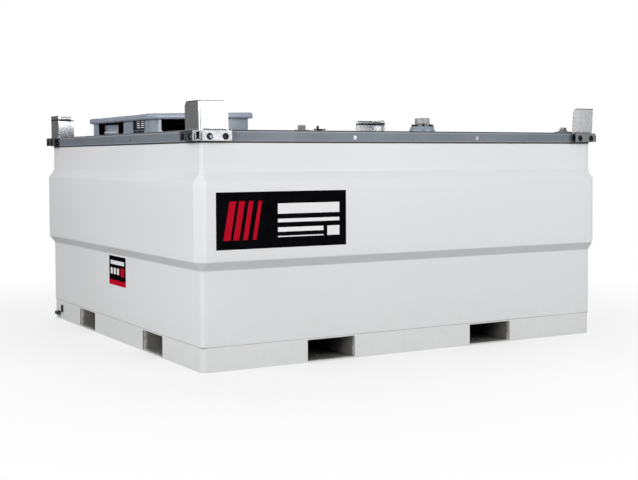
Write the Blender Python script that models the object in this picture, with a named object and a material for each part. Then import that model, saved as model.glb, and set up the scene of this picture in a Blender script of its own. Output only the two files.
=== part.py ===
# Transportable bunded fuel tank: fork-pocket skid, belly-banded steel shell, grey bolted roof,
# raised equipment cabinet with a hinged lid, and galvanised corner brackets.
# Metres, +Z up. The origin is at the bottom centre. The front is -Y, and the cabinet is near -X.

import math

import bmesh
import bpy
from mathutils import Matrix, Vector

# Whole tank
WIDTH = 2.226
DEPTH = 2.110
GAP = 0.0003
LAP = 0.001
SHEET = 0.006

# Skid with crossing fork lanes
SKID_HEIGHT = 0.108
SKID_PLATE = 0.006
SKID_CORNER_RADIUS = 0.032
LANE_WIDTH = 0.250
FRONT_LANES = (-0.466, 0.450)
SIDE_LANES = (-0.484, 0.462)
DRAIN_RADIUS = 0.014
DRAIN_SET_BACK = 0.120

# Shell with its belly band
WALL_RADIUS = 0.020
BELLY_OUT = 0.031
BELLY_CUT = 0.043
BELLY_LOW = (0.440, 0.480)
BELLY_HIGH = (0.822, 0.865)
WALL_TOP = 0.994

# Roof
RIM_BOTTOM = 1.0005
ROOF_TOP = 1.051
RIM_OUT = 0.0025
RIM_SHEET = 0.005
RIM_BEND = 0.007
RIM_FLANGE = 0.050
DECK_GAP = 0.0008
GASKET_OUT = 0.0010

# Equipment cabinet and its lid in plan, anticlockwise from the near left corner
CABINET_CORNERS = ((-1.011, -0.2410), (-0.619, -0.5256), (-0.619, 0.9225), (-1.011, 0.6379))
CABINET_RADII = (0.076, 0.004, 0.004, 0.036)
LID_CORNERS = ((-1.035, -0.257), (-0.607, -0.5678), (-0.607, 0.9558), (-1.035, 0.645))
LID_RADII = (0.100, 0.012, 0.012, 0.060)
LID_BOTTOM = 1.1203
LID_THICKNESS = 0.0300
LID_EDGE_ROUND = 0.010
CABINET_SHEET = 0.005
CABINET_TOP = 1.120
CABINET_FLOOR = 0.800
NOTCH_BOTTOM = 1.058
SIDE_OPENING = (0.153, 0.550)
VENT_OPENING = (-0.146, 0.021)
SLANT_OPENING = (0.049, 0.328)
NOTCH_ROUND = 0.018
PORT_SPAN = (0.362, 0.572)
PORT_SET_BACK = 0.026
PORT_BULGE = 0.020
VENT_LAP = 0.012
VENT_SHEET = 0.003

# Lid hinges
HINGE_X = -0.598
HINGE_Z = 1.1345
HINGE_RADIUS = 0.006
HINGE_ENDS = (-0.250, 0.620)
KNUCKLE = 0.030
KNUCKLE_GAP = 0.001
WEB_LAP = 0.004
CHEEK_DEPTH = 0.020
FOOT_DEPTHS = (0.040, 0.010)
LID_OPEN_CLEARANCE = 0.0060

# Corner brackets
BRACKET_TOP = 1.176
BRACKET_BOTTOM = 1.0015
BRACKET_SHEET = 0.0050
BRACKET_BEND = 0.010
UPRIGHT_LENGTHS = (0.130, 0.141)
UPRIGHT_CUT = 0.018
UPRIGHT_LEANS = (0.0065, 0.0020)
SKIRT_OUT = 0.038
SKIRT_LEVELS = (1.003, 1.047)
SKIRT_LENGTHS = (0.132, 0.136)
SKIRT_CORNER = 0.002
PIN_HOLE_RADIUS = 0.0145
PIN_HOLES = (0.027, 0.102)
PIN_HOLE_Z = 1.021
CORNER_SLOT = (0.017, 1.009, 1.041)
TOP_BAR_LEVELS = (1.155, 1.173)
TOP_BAR_SHEET = 0.007

# Roof fittings
VENT_PLACE = (0.5175, -0.380)
VENT_PROFILE = ((0.0765, 0.0), (0.0765, 0.020), (0.073, 0.034), (0.066, 0.043), (0.060, 0.045))
VENT_CAP_PROFILE = ((0.030, 0.0), (0.030, 0.0125), (0.0425, 0.0145), (0.0425, 0.042), (0.0385, 0.045))
DIP_PLACE = (-0.225, -0.350)
DIP_PROFILE = ((0.072, 0.0), (0.058, 0.018), (0.034, 0.022))
DIP_PLUG_PROFILE = ((0.0215, 0.0), (0.0215, 0.022), (0.019, 0.024))
VALVE_PLACE = (-0.124, -0.360)
VALVE_PROFILE = ((0.014, 0.0), (0.014, 0.018), (0.010, 0.022))
LEVER_REACH = (-0.030, 0.034)
LEVER_WIDTH = 0.014
LEVER_LEVELS = (0.020, 0.027)
KNOB_SHIFT = -0.010
KNOB_RADIUS = 0.0065
KNOB_LEVELS = (0.024, 0.042)
CORNER_PLACE = (0.996, -0.978)
CORNER_PROFILE = ((0.049, 0.0), (0.049, 0.004), (0.024, 0.0075), (0.0195, 0.0165))
CORNER_PLUG_PROFILE = ((0.0185, 0.0), (0.0185, 0.0095), (0.0165, 0.0115))

# Fittings on the skid's left side
EARTH_LUG_Y = (0.939, 0.986)
EARTH_LUG_Z = (0.024, 0.044)
EARTH_LUG_REACH = 0.022
CHAIN_Y = (0.894, 0.920)
CHAIN_Z = (0.042, 0.084)
CHAIN_THICKNESS = 0.007

# Round work
ARC_STEPS = 4
ROUND_SIDES = 24
SMOOTH_ANGLE = math.radians(40)
SMALLEST_RADIUS = 0.002
BEND_MIDDLE = 1 - math.cos(math.pi / 4)


def material(name, colour, roughness, metallic):
    """Make a plain Principled material."""
    made = bpy.data.materials.new(name)
    made.use_nodes = True
    shader = made.node_tree.nodes["Principled BSDF"]
    shader.inputs["Base Color"].default_value = (*colour, 1.0)
    shader.inputs["Roughness"].default_value = roughness
    shader.inputs["Metallic"].default_value = metallic
    return made


def add_object(name, mesh, look):
    """Put a mesh into the scene under a node name."""
    made = bpy.data.objects.new(name, mesh)
    bpy.context.scene.collection.objects.link(made)
    if look is not None:
        mesh.materials.append(look)
    return made


def object_from_bmesh(name, bm, look):
    """Turn an edited mesh into an object with outward faces."""
    bmesh.ops.recalc_face_normals(bm, faces=bm.faces)
    mesh = bpy.data.meshes.new(name)
    bm.to_mesh(mesh)
    bm.free()
    return add_object(name, mesh, look)


def fill_prism(bm, outline, bottom, top):
    """Add an upright prism over a plan outline."""
    low = [bm.verts.new((x, y, bottom)) for x, y in outline]
    high = [bm.verts.new((x, y, top)) for x, y in outline]
    bm.faces.new(low[::-1])
    bm.faces.new(high)
    for i in range(len(outline)):
        j = (i + 1) % len(outline)
        bm.faces.new((low[i], low[j], high[j], high[i]))


def prism(name, outline, bottom, top, look):
    """Make an upright prism as an object."""
    bm = bmesh.new()
    fill_prism(bm, outline, bottom, top)
    return object_from_bmesh(name, bm, look)


def box(name, low, high, look):
    """Make an upright box between two corners."""
    outline = ((low[0], low[1]), (high[0], low[1]), (high[0], high[1]), (low[0], high[1]))
    return prism(name, outline, low[2], high[2], look)


def cylinder(name, centre, radius, length, axis, look):
    """Make a round bar centred on a point, along X, Y or Z."""
    turn = {"X": Matrix.Rotation(math.pi / 2, 4, "Y"),
            "Y": Matrix.Rotation(math.pi / 2, 4, "X"),
            "Z": Matrix.Identity(4)}[axis]
    bm = bmesh.new()
    bmesh.ops.create_cone(bm, cap_ends=True, segments=ROUND_SIDES, radius1=radius, radius2=radius,
                          depth=length, matrix=Matrix.Translation(centre) @ turn)
    made = object_from_bmesh(name, bm, look)
    made.data.shade_smooth()
    made.data.set_sharp_from_angle(angle=SMOOTH_ANGLE)
    return made


def turned(name, place, base, profile, look):
    """Turn a (radius, height) profile into a round solid standing on a base height."""
    bm = bmesh.new()
    rings = []
    for radius, height in profile:
        ring = []
        for step in range(ROUND_SIDES):
            angle = 2 * math.pi * step / ROUND_SIDES
            ring.append(bm.verts.new((place[0] + radius * math.cos(angle),
                                      place[1] + radius * math.sin(angle), base + height)))
        rings.append(ring)
    for lower, upper in zip(rings, rings[1:]):
        for i in range(ROUND_SIDES):
            j = (i + 1) % ROUND_SIDES
            bm.faces.new((lower[i], lower[j], upper[j], upper[i]))
    bm.faces.new(rings[0][::-1])
    bm.faces.new(rings[-1])
    made = object_from_bmesh(name, bm, look)
    made.data.shade_smooth()
    made.data.set_sharp_from_angle(angle=SMOOTH_ANGLE)
    return made


def combine(target, other, operation):
    """Join another solid to an object, or cut it away, and leave the other as a guide."""
    change = target.modifiers.new(other.name, "BOOLEAN")
    change.operation = operation
    change.solver = "EXACT"
    change.object = other
    other.hide_render = True
    other.display_type = "WIRE"


def side_normal(start, end):
    """Give the outward normal of one side of an anticlockwise outline."""
    along = (end - start).normalized()
    return Vector((along.y, -along.x))


def corner_frame(corners, index, out):
    """Give the offset corner, its outward bisector and the cosine of half its turn."""
    count = len(corners)
    before = Vector(corners[(index - 1) % count])
    here = Vector(corners[index % count])
    after = Vector(corners[(index + 1) % count])
    first = side_normal(before, here)
    second = side_normal(here, after)
    bisector = (first + second).normalized()
    cosine = bisector.dot(first)
    return here + bisector * (out / cosine), bisector, cosine


def side_path(corners, index, out, start_radius, end_radius, flat=0.0, gap=GAP):
    """Trace one side of an offset outline between the middles of two round or flattened corners."""
    start = Vector(corners[index % len(corners)])
    end = Vector(corners[(index + 1) % len(corners)])
    normal = side_normal(start, end)
    along = (end - start).normalized()
    points = []
    for offset, radius in ((0, start_radius), (1, end_radius)):
        corner, bisector, cosine = corner_frame(corners, index + offset, out)
        centre = corner - bisector * (radius / cosine)
        half_turn = math.acos(min(1.0, cosine))
        for step in range(ARC_STEPS + 1):
            share = step / ARC_STEPS if offset else 1 - step / ARC_STEPS
            lean = along if offset else -along
            angle = half_turn * share
            chord = cosine / math.cos(half_turn - angle)
            reach = radius * (1 + (chord - 1) * flat)
            point = centre + (normal * math.cos(angle) + lean * math.sin(angle)) * reach
            if share == 1:
                point -= lean * (gap / 2 / cosine)
            points.append(point)
    return points


def mitred_side(name, corners, index, section, look):
    """Sweep a closed section of (z, out, start radius, end radius, corner flatness) along one side."""
    bm = bmesh.new()
    rows = []
    for z, out, *shape in section:
        path = side_path(corners, index, out, *shape)
        rows.append([bm.verts.new((point.x, point.y, z)) for point in path])
    for i in range(len(rows)):
        row = rows[i]
        after = rows[(i + 1) % len(rows)]
        for j in range(len(row) - 1):
            bm.faces.new((row[j], row[j + 1], after[j + 1], after[j]))
    bm.faces.new([row[0] for row in rows])
    bm.faces.new([row[-1] for row in rows])
    return object_from_bmesh(name, bm, look)


def closed_band(name, corners, section, look):
    """Sweep a closed section of (z, out, radius) all the way round an outline."""
    bm = bmesh.new()
    rows = []
    for z, out, radius in section:
        row = []
        for index in range(len(corners)):
            path = side_path(corners, index, out, radius, radius, gap=0.0)
            row += [bm.verts.new((point.x, point.y, z)) for point in path[:-1]]
        rows.append(row)
    for i in range(len(rows)):
        row = rows[i]
        after = rows[(i + 1) % len(rows)]
        for j in range(len(row)):
            k = (j + 1) % len(row)
            bm.faces.new((row[j], row[k], after[k], after[j]))
    return object_from_bmesh(name, bm, look)


def inner_radius(radius, thickness):
    """Keep a round inner corner even where the sheet is thicker than the corner's radius."""
    return max(radius - thickness, SMALLEST_RADIUS)


TANK_CORNERS = ((-WIDTH / 2, -DEPTH / 2), (WIDTH / 2, -DEPTH / 2),
                (WIDTH / 2, DEPTH / 2), (-WIDTH / 2, DEPTH / 2))
SIDE_NAMES = ("front", "right", "back", "left")


def build_walls(look):
    """Four mitred shell walls with the belly band, which has flat cut corners."""
    wall = (WALL_RADIUS, inner_radius(WALL_RADIUS, SHEET), 0.0)
    belly = (BELLY_CUT, BELLY_CUT - SHEET * (2 - math.sqrt(2)), 1.0)
    levels = ((SKID_HEIGHT + GAP, 0.0, wall), (BELLY_LOW[0], 0.0, wall), (BELLY_LOW[1], BELLY_OUT, belly),
              (BELLY_HIGH[0], BELLY_OUT, belly), (BELLY_HIGH[1], 0.0, wall), (WALL_TOP, 0.0, wall))
    section = [(z, out, outside, outside, flat) for z, out, (outside, inside, flat) in levels]
    for z, out, (outside, inside, flat) in reversed(levels):
        section.append((z, out - SHEET, inside, inside, flat))
    for index, side in enumerate(SIDE_NAMES):
        mitred_side(side + "_wall", TANK_CORNERS, index, section, look)


def build_rim(look, rubber):
    """Four rim angles round the roof, and the gasket under them."""
    outside = WALL_RADIUS + RIM_OUT
    inside = inner_radius(outside, RIM_SHEET)
    under = ROOF_TOP - RIM_SHEET
    bend = inner_radius(outside, RIM_BEND)
    section = ((RIM_BOTTOM, RIM_OUT, outside, outside),
               (ROOF_TOP - RIM_BEND, RIM_OUT, outside, outside),
               (ROOF_TOP - RIM_BEND * BEND_MIDDLE, RIM_OUT - RIM_BEND * BEND_MIDDLE, outside, outside),
               (ROOF_TOP, RIM_OUT - RIM_BEND, bend, bend),
               (ROOF_TOP, RIM_OUT - RIM_FLANGE, SMALLEST_RADIUS, SMALLEST_RADIUS),
               (under, RIM_OUT - RIM_FLANGE, SMALLEST_RADIUS, SMALLEST_RADIUS),
               (under, RIM_OUT - RIM_SHEET, inside, inside),
               (RIM_BOTTOM, RIM_OUT - RIM_SHEET, inside, inside))
    seal_inside = inner_radius(WALL_RADIUS, SHEET)
    seal = ((WALL_TOP + GAP, GASKET_OUT, WALL_RADIUS), (RIM_BOTTOM - GAP, GASKET_OUT, WALL_RADIUS),
            (RIM_BOTTOM - GAP, -SHEET, seal_inside), (WALL_TOP + GAP, -SHEET, seal_inside))
    closed_band("roof_gasket", TANK_CORNERS, seal, rubber)
    for index, side in enumerate(SIDE_NAMES):
        mitred_side(side + "_rim", TANK_CORNERS, index, section, look)


def lane_edges(lanes):
    """Give the two edges of each fork lane."""
    return [(middle - LANE_WIDTH / 2, middle + LANE_WIDTH / 2) for middle in lanes]


def spans_between(half, lanes):
    """Give the three stretches that two fork lanes leave free."""
    first, second = lane_edges(lanes)
    return ((-half, first[0]), (first[1], second[0]), (second[1], half))


def rounded_rectangle(low, high, radii):
    """Outline a rectangle, anticlockwise from its low corner, with its own radius at each corner."""
    corners = ((low[0], low[1]), (high[0], low[1]), (high[0], high[1]), (low[0], high[1]))
    outline = []
    for index, radius in enumerate(radii):
        x, y = corners[index]
        if radius == 0:
            outline.append((x, y))
            continue
        side_x = 1 if index in (0, 3) else -1
        side_y = 1 if index in (0, 1) else -1
        centre = (x + side_x * radius, y + side_y * radius)
        first_angle = math.pi + index * math.pi / 2
        for step in range(2 * ARC_STEPS + 1):
            angle = first_angle + step * math.pi / 4 / ARC_STEPS
            outline.append((centre[0] + radius * math.cos(angle), centre[1] + radius * math.sin(angle)))
    return outline


def build_skid(look):
    """Bottom plate with drain holes, nine blocks between the fork lanes, and the tank floor."""
    half_x = WIDTH / 2
    half_y = DEPTH / 2
    all_round = [SKID_CORNER_RADIUS] * 4
    outline = rounded_rectangle((-half_x, -half_y), (half_x, half_y), all_round)
    plate = prism("skid_bottom_plate", outline, 0.0, SKID_PLATE, look)
    for number, centre in enumerate(drain_centres()):
        hole = cylinder("drain_cutter_%d" % (number + 1), (*centre, SKID_PLATE / 2), DRAIN_RADIUS,
                        SKID_PLATE * 4, "Z", None)
        combine(plate, hole, "DIFFERENCE")
    prism("tank_floor", outline, SKID_HEIGHT - SKID_PLATE + GAP, SKID_HEIGHT, look)
    x_spans = spans_between(half_x, FRONT_LANES)
    y_spans = spans_between(half_y, SIDE_LANES)
    x_names = ("left", "middle", "right")
    y_names = ("front", "middle", "back")
    for column, x_span in enumerate(x_spans):
        for row, y_span in enumerate(y_spans):
            radii = [0, 0, 0, 0]
            if column != 1 and row != 1:
                corner = {(0, 0): 0, (2, 0): 1, (2, 2): 2, (0, 2): 3}[(column, row)]
                radii[corner] = SKID_CORNER_RADIUS
            block = rounded_rectangle((x_span[0], y_span[0]), (x_span[1], y_span[1]), radii)
            name = "skid_block_%s_%s" % (y_names[row], x_names[column])
            prism(name, block, SKID_PLATE + GAP, SKID_HEIGHT - SKID_PLATE, look)


def drain_centres():
    """Drain holes in the floor of each fork pocket, just inside the mouth."""
    half_x = WIDTH / 2 - DRAIN_SET_BACK
    half_y = DEPTH / 2 - DRAIN_SET_BACK
    for x in FRONT_LANES:
        for y in (-half_y, half_y):
            yield (x, y)
    for y in SIDE_LANES:
        for x in (-half_x, half_x):
            yield (x, y)


def cabinet_path(index, out):
    """Trace one side of the cabinet wall at an offset from its outer face."""
    radii = [inner_radius(radius, -out) for radius in CABINET_RADII]
    return side_path(CABINET_CORNERS, index, out, radii[index], radii[(index + 1) % 4])


def cabinet_wall(name, index, look):
    """One standing side of the cabinet, from the well's floor to under the lid."""
    bm = bmesh.new()
    outer = cabinet_path(index, 0.0)
    inner = cabinet_path(index, -CABINET_SHEET)
    outline = outer + inner[::-1]
    low = [bm.verts.new((*point, CABINET_FLOOR + GAP)) for point in outline]
    high = [bm.verts.new((*point, CABINET_TOP)) for point in outline]
    count = len(outline)
    for i in range(count):
        j = (i + 1) % count
        bm.faces.new((low[i], low[j], high[j], high[i]))
    for i in range(len(outer) - 1):
        k = count - 1 - i
        bm.faces.new((low[i], low[i + 1], low[k - 1], low[k]))
        bm.faces.new((high[i], high[i + 1], high[k - 1], high[k]))
    return object_from_bmesh(name, bm, look)


def plate_cutter(name, corner, along, normal, shape, depths):
    """Extrude a (distance, height) shape on an upright plane between two depths along its normal."""
    bm = bmesh.new()
    ends = []
    for depth in depths:
        ring = [corner + along * distance + normal * depth for distance, _ in shape]
        ends.append([bm.verts.new((*point, z)) for point, (_, z) in zip(ring, shape)])
    bm.faces.new(ends[0])
    bm.faces.new(ends[1][::-1])
    for i in range(len(shape)):
        j = (i + 1) % len(shape)
        bm.faces.new((ends[0][i], ends[0][j], ends[1][j], ends[1][i]))
    return object_from_bmesh(name, bm, None)


def notch(name, index, start, end):
    """A round-bottomed cutter through one cabinet side, by distances along that side."""
    corner = Vector(CABINET_CORNERS[index])
    after = Vector(CABINET_CORNERS[(index + 1) % 4])
    along = (after - corner).normalized()
    top = CABINET_TOP + NOTCH_ROUND
    shape = rounded_rectangle((start, NOTCH_BOTTOM), (end, top), (NOTCH_ROUND, NOTCH_ROUND, 0, 0))
    depths = (CABINET_SHEET, -CABINET_SHEET * 2)
    return plate_cutter(name, corner, along, side_normal(corner, after), shape, depths)


def build_cabinet(look, dark):
    """Well floor, four standing sides with their openings, and the vent plate."""
    floor = []
    for index in range(4):
        floor += [tuple(point) for point in cabinet_path(index, 0.0)]
    prism("cabinet_floor", floor, CABINET_FLOOR - CABINET_SHEET, CABINET_FLOOR, look)
    front = cabinet_wall("cabinet_wall_front", 0, look)
    cabinet_wall("cabinet_wall_hinge_side", 1, look)
    cabinet_wall("cabinet_wall_back", 2, look)
    left = cabinet_wall("cabinet_wall_left", 3, look)
    combine(front, notch("front_opening_cutter", 0, *SLANT_OPENING), "DIFFERENCE")
    far_end = CABINET_CORNERS[3][1]
    for name, span in (("side_opening_cutter", SIDE_OPENING), ("vent_cutter", VENT_OPENING)):
        combine(left, notch(name, 3, far_end - span[1], far_end - span[0]), "DIFFERENCE")
    build_port_cover(look)
    behind = CABINET_CORNERS[0][0] + CABINET_SHEET + GAP
    box("cabinet_vent_plate", (behind, VENT_OPENING[0] - VENT_LAP, NOTCH_BOTTOM - VENT_LAP),
        (behind + VENT_SHEET, VENT_OPENING[1] + VENT_LAP, CABINET_TOP - LAP), dark)


def build_port_cover(look):
    """The bowed grey cover that shows inside the side opening, standing on the well's floor."""
    face = CABINET_CORNERS[0][0] + PORT_SET_BACK
    start, end = PORT_SPAN
    outline = []
    for step in range(2 * ARC_STEPS + 1):
        share = step / ARC_STEPS - 1
        y = (start + end) / 2 - share * (end - start) / 2
        outline.append((face + PORT_BULGE * share * share, y))
    back = face + PORT_BULGE + CABINET_SHEET
    outline += [(back, start), (back, end)]
    top = CABINET_TOP - NOTCH_ROUND / 2
    prism("cabinet_port_cover", outline, CABINET_FLOOR + GAP, top, look)


def build_deck(look):
    """Roof plates inside the rim, fitted round the cabinet."""
    edge_x = WIDTH / 2 + RIM_OUT - RIM_FLANGE - DECK_GAP
    edge_y = DEPTH / 2 + RIM_OUT - RIM_FLANGE - DECK_GAP
    paths = [[tuple(point) for point in cabinet_path(index, GAP)] for index in range(4)]
    bottom = ROOF_TOP - RIM_SHEET
    split_x = paths[0][-1][0]
    main = [(split_x + GAP, -edge_y), (edge_x, -edge_y), (edge_x, edge_y), (split_x + GAP, edge_y)]
    prism("roof_deck_main", main + paths[1][::-1], bottom, ROOF_TOP, look)
    front = [(-edge_x, -edge_y), (split_x, -edge_y)]
    front_end = paths[0][0][1]
    prism("roof_deck_front", front + paths[0][::-1] + [(-edge_x, front_end)], bottom, ROOF_TOP, look)
    back_end = paths[2][-1][1]
    back = [(-edge_x, back_end)] + paths[2][::-1] + [(split_x, edge_y), (-edge_x, edge_y)]
    prism("roof_deck_back", back, bottom, ROOF_TOP, look)
    left = [(-edge_x, front_end + GAP)] + paths[3][::-1] + [(-edge_x, back_end - GAP)]
    prism("roof_deck_left", left, bottom, ROOF_TOP, look)


def build_lid(look, steel):
    """Cabinet lid with its hinge knuckles, turning about an empty on the hinge axis."""
    axis = bpy.data.objects.new("lid_axis", None)
    bpy.context.scene.collection.objects.link(axis)
    axis.location = (HINGE_X, 0.0, HINGE_Z)
    bm = bmesh.new()
    top = LID_BOTTOM + LID_THICKNESS
    eased = LID_EDGE_ROUND * BEND_MIDDLE
    levels = ((LID_BOTTOM, eased), (LID_BOTTOM + eased, 0.0), (top - LID_EDGE_ROUND, 0.0),
              (top - eased, eased), (top, LID_EDGE_ROUND))
    rings = []
    for z, inset in levels:
        ring = []
        for index in range(4):
            radii = (LID_RADII[index] - inset, LID_RADII[(index + 1) % 4] - inset)
            path = side_path(LID_CORNERS, index, -inset, *radii)
            ring += [bm.verts.new((point.x - HINGE_X, point.y, z - HINGE_Z)) for point in path]
        rings.append(ring)
    count = len(rings[0])
    for lower, upper in zip(rings, rings[1:]):
        for i in range(count):
            j = (i + 1) % count
            bm.faces.new((lower[i], lower[j], upper[j], upper[i]))
    bm.faces.new(rings[0][::-1])
    bm.faces.new(rings[-1])
    lid = object_from_bmesh("cabinet_lid", bm, look)
    lid.parent = axis
    for number, middle in enumerate(HINGE_ENDS):
        knuckle = cylinder("lid_knuckle_guide_%d" % (number + 1), (HINGE_X, middle, HINGE_Z),
                           HINGE_RADIUS, KNUCKLE, "Y", None)
        web = box("lid_web_guide_%d" % (number + 1),
                  (LID_CORNERS[1][0] - WEB_LAP, middle - KNUCKLE / 2, HINGE_Z - HINGE_RADIUS / 2),
                  (HINGE_X, middle + KNUCKLE / 2, HINGE_Z + HINGE_RADIUS / 2), None)
        combine(lid, web, "UNION")
        combine(lid, knuckle, "UNION")
        build_hinge_bracket(number + 1, middle, steel)


def build_hinge_bracket(number, middle, look):
    """A forked hinge bracket on the cabinet wall, with a barrel on each side of the lid's knuckle."""
    wall_face = CABINET_CORNERS[1][0] + GAP
    outer = HINGE_X + HINGE_RADIUS / 2
    foot_top = LID_BOTTOM - LID_OPEN_CLEARANCE
    reach = KNUCKLE * 1.5
    foot = box("cabinet_hinge_%d" % number, (wall_face, middle - reach, foot_top - FOOT_DEPTHS[0]),
               (outer, middle + reach, foot_top - FOOT_DEPTHS[1]), look)
    for side in (-1, 1):
        centre = middle + side * KNUCKLE
        cheek = box("hinge_cheek_guide_%d_%d" % (number, side + 2),
                    (HINGE_X - HINGE_RADIUS / 2, centre - KNUCKLE / 2 + KNUCKLE_GAP, foot_top - CHEEK_DEPTH),
                    (outer, centre + KNUCKLE / 2 - KNUCKLE_GAP, HINGE_Z), None)
        barrel = cylinder("hinge_barrel_guide_%d_%d" % (number, side + 2), (HINGE_X, centre, HINGE_Z),
                          HINGE_RADIUS, KNUCKLE - KNUCKLE_GAP * 2, "Y", None)
        combine(foot, cheek, "UNION")
        combine(foot, barrel, "UNION")


def corner_plan(points, flip_x, flip_y):
    """Place plan points given from the shell's near left corner at any corner of the tank."""
    outline = [(flip_x * (x - WIDTH / 2), flip_y * (y - DEPTH / 2)) for x, y in points]
    return outline if flip_x * flip_y > 0 else outline[::-1]


def plan_corner(offset, cut, bend):
    """Plan points of a strip's corner at an offset: sharp, cut at 45 degrees or bent round."""
    if cut:
        return [(-offset, -offset + cut), (-offset + cut, -offset)]
    if not bend:
        return [(-offset, -offset)]
    centre = -offset + bend
    angles = [math.pi + step * math.pi / 4 / ARC_STEPS for step in range(2 * ARC_STEPS + 1)]
    return [(centre + bend * math.cos(angle), centre + bend * math.sin(angle)) for angle in angles]


def strip_plan(outer, inner, lengths, outer_corner, inner_corner):
    """Plan of an angle strip round a corner, with each corner given as a (cut, bend) pair."""
    front, side = lengths
    plan = [(-outer, side)] + plan_corner(outer, *outer_corner)
    plan += [(front, -outer), (front, -inner)] + plan_corner(inner, *inner_corner)[::-1]
    return plan + [(-inner, side)]


def lean_out(piece, flip_x, flip_y):
    """Lean a piece of an upright outwards, more the higher it reaches, and most at the front."""
    front_lean, back_lean = UPRIGHT_LEANS
    lean = front_lean if flip_y > 0 else back_lean
    for vertex in piece.data.vertices:
        share = (vertex.co.z - BRACKET_BOTTOM) / (BRACKET_TOP - BRACKET_BOTTOM)
        vertex.co.x -= flip_x * lean * share
        vertex.co.y -= flip_y * lean * share


def shortened(lengths, cut):
    """Take the same cut off both legs of an angle strip."""
    return [length - cut for length in lengths]


def build_bracket(name, flip_x, flip_y, look):
    """One lifting and stacking bracket: an upright angle, a ledge and a stand-off skirt."""
    rim_face = RIM_OUT + GAP
    outer = rim_face + BRACKET_SHEET
    cut = SKIRT_OUT - SKIRT_CORNER
    inner_cut = cut - BRACKET_SHEET * (2 - math.sqrt(2))
    sharp = (0.0, 0.0)
    bent_in = (0.0, BRACKET_BEND - BRACKET_SHEET)
    upright = strip_plan(outer, rim_face, UPRIGHT_LENGTHS, (0.0, BRACKET_BEND), bent_in)
    ledge = strip_plan(SKIRT_OUT - LAP, outer - LAP, shortened(SKIRT_LENGTHS, LAP), (cut - LAP, 0.0), bent_in)
    skirt = strip_plan(SKIRT_OUT, SKIRT_OUT - BRACKET_SHEET, SKIRT_LENGTHS, (cut, 0.0), (inner_cut, 0.0))
    bar = strip_plan(rim_face + LAP, rim_face - TOP_BAR_SHEET, shortened(UPRIGHT_LENGTHS, UPRIGHT_CUT + LAP),
                     bent_in, sharp)
    bracket = prism(name, corner_plan(upright, flip_x, flip_y), BRACKET_BOTTOM, BRACKET_TOP, look)
    ledge_guide = prism(name + "_ledge_guide", corner_plan(ledge, flip_x, flip_y),
                        SKIRT_LEVELS[1] - BRACKET_SHEET, SKIRT_LEVELS[1] - LAP, None)
    skirt_guide = prism(name + "_skirt_guide", corner_plan(skirt, flip_x, flip_y), *SKIRT_LEVELS, None)
    bar_guide = prism(name + "_bar_guide", corner_plan(bar, flip_x, flip_y), *TOP_BAR_LEVELS, None)
    lean_out(bracket, flip_x, flip_y)
    lean_out(bar_guide, flip_x, flip_y)
    combine(bracket, ledge_guide, "UNION")
    combine(bracket, skirt_guide, "UNION")
    combine(bracket, bar_guide, "UNION")
    cut_skirt(bracket, flip_x, flip_y)
    cut_upright(bracket, flip_x, flip_y)


def cut_skirt(bracket, flip_x, flip_y):
    """Cut the round pin holes and the corner slot of one skirt."""
    half_x = WIDTH / 2
    half_y = DEPTH / 2
    face = SKIRT_OUT - BRACKET_SHEET / 2
    for number, distance in enumerate(PIN_HOLES):
        front = (flip_x * (distance - half_x), -flip_y * (half_y + face), PIN_HOLE_Z)
        side = (-flip_x * (half_x + face), flip_y * (distance - half_y), PIN_HOLE_Z)
        for label, centre, axis in (("front", front, "Y"), ("side", side, "X")):
            name = "%s_%s_hole_cutter_%d" % (bracket.name, label, number + 1)
            hole = cylinder(name, centre, PIN_HOLE_RADIUS, BRACKET_SHEET * 3, axis, None)
            combine(bracket, hole, "DIFFERENCE")
    width, low, high = CORNER_SLOT
    middle = -(SKIRT_OUT + SKIRT_CORNER) / 2
    across = width / 2 / math.sqrt(2)
    reach = BRACKET_SHEET * 2 / math.sqrt(2)
    near = middle - across
    far = middle + across
    plan = ((near - reach, far - reach), (far - reach, near - reach),
            (far + reach, near + reach), (near + reach, far + reach))
    slot = prism(bracket.name + "_slot_cutter", corner_plan(plan, flip_x, flip_y), low, high, None)
    combine(bracket, slot, "DIFFERENCE")


def cut_upright(bracket, flip_x, flip_y):
    """Cut the upper outer corner off each flange of one upright."""
    top = BRACKET_TOP + LAP
    corner = Vector((-flip_x * WIDTH / 2, -flip_y * DEPTH / 2))
    for label, length, along, normal in (
            ("front", UPRIGHT_LENGTHS[0], Vector((flip_x, 0)), Vector((0, -flip_y))),
            ("side", UPRIGHT_LENGTHS[1], Vector((0, flip_y)), Vector((-flip_x, 0)))):
        end = length + LAP
        start = length - UPRIGHT_CUT
        wedge = ((start - LAP, top), (end, BRACKET_TOP - UPRIGHT_CUT - LAP), (end, top))
        cutter = plate_cutter("%s_%s_wedge_cutter" % (bracket.name, label), corner, along, normal,
                              wedge, (0.0, SKIRT_OUT / 2))
        lean_out(cutter, flip_x, flip_y)
        combine(bracket, cutter, "DIFFERENCE")


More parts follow.
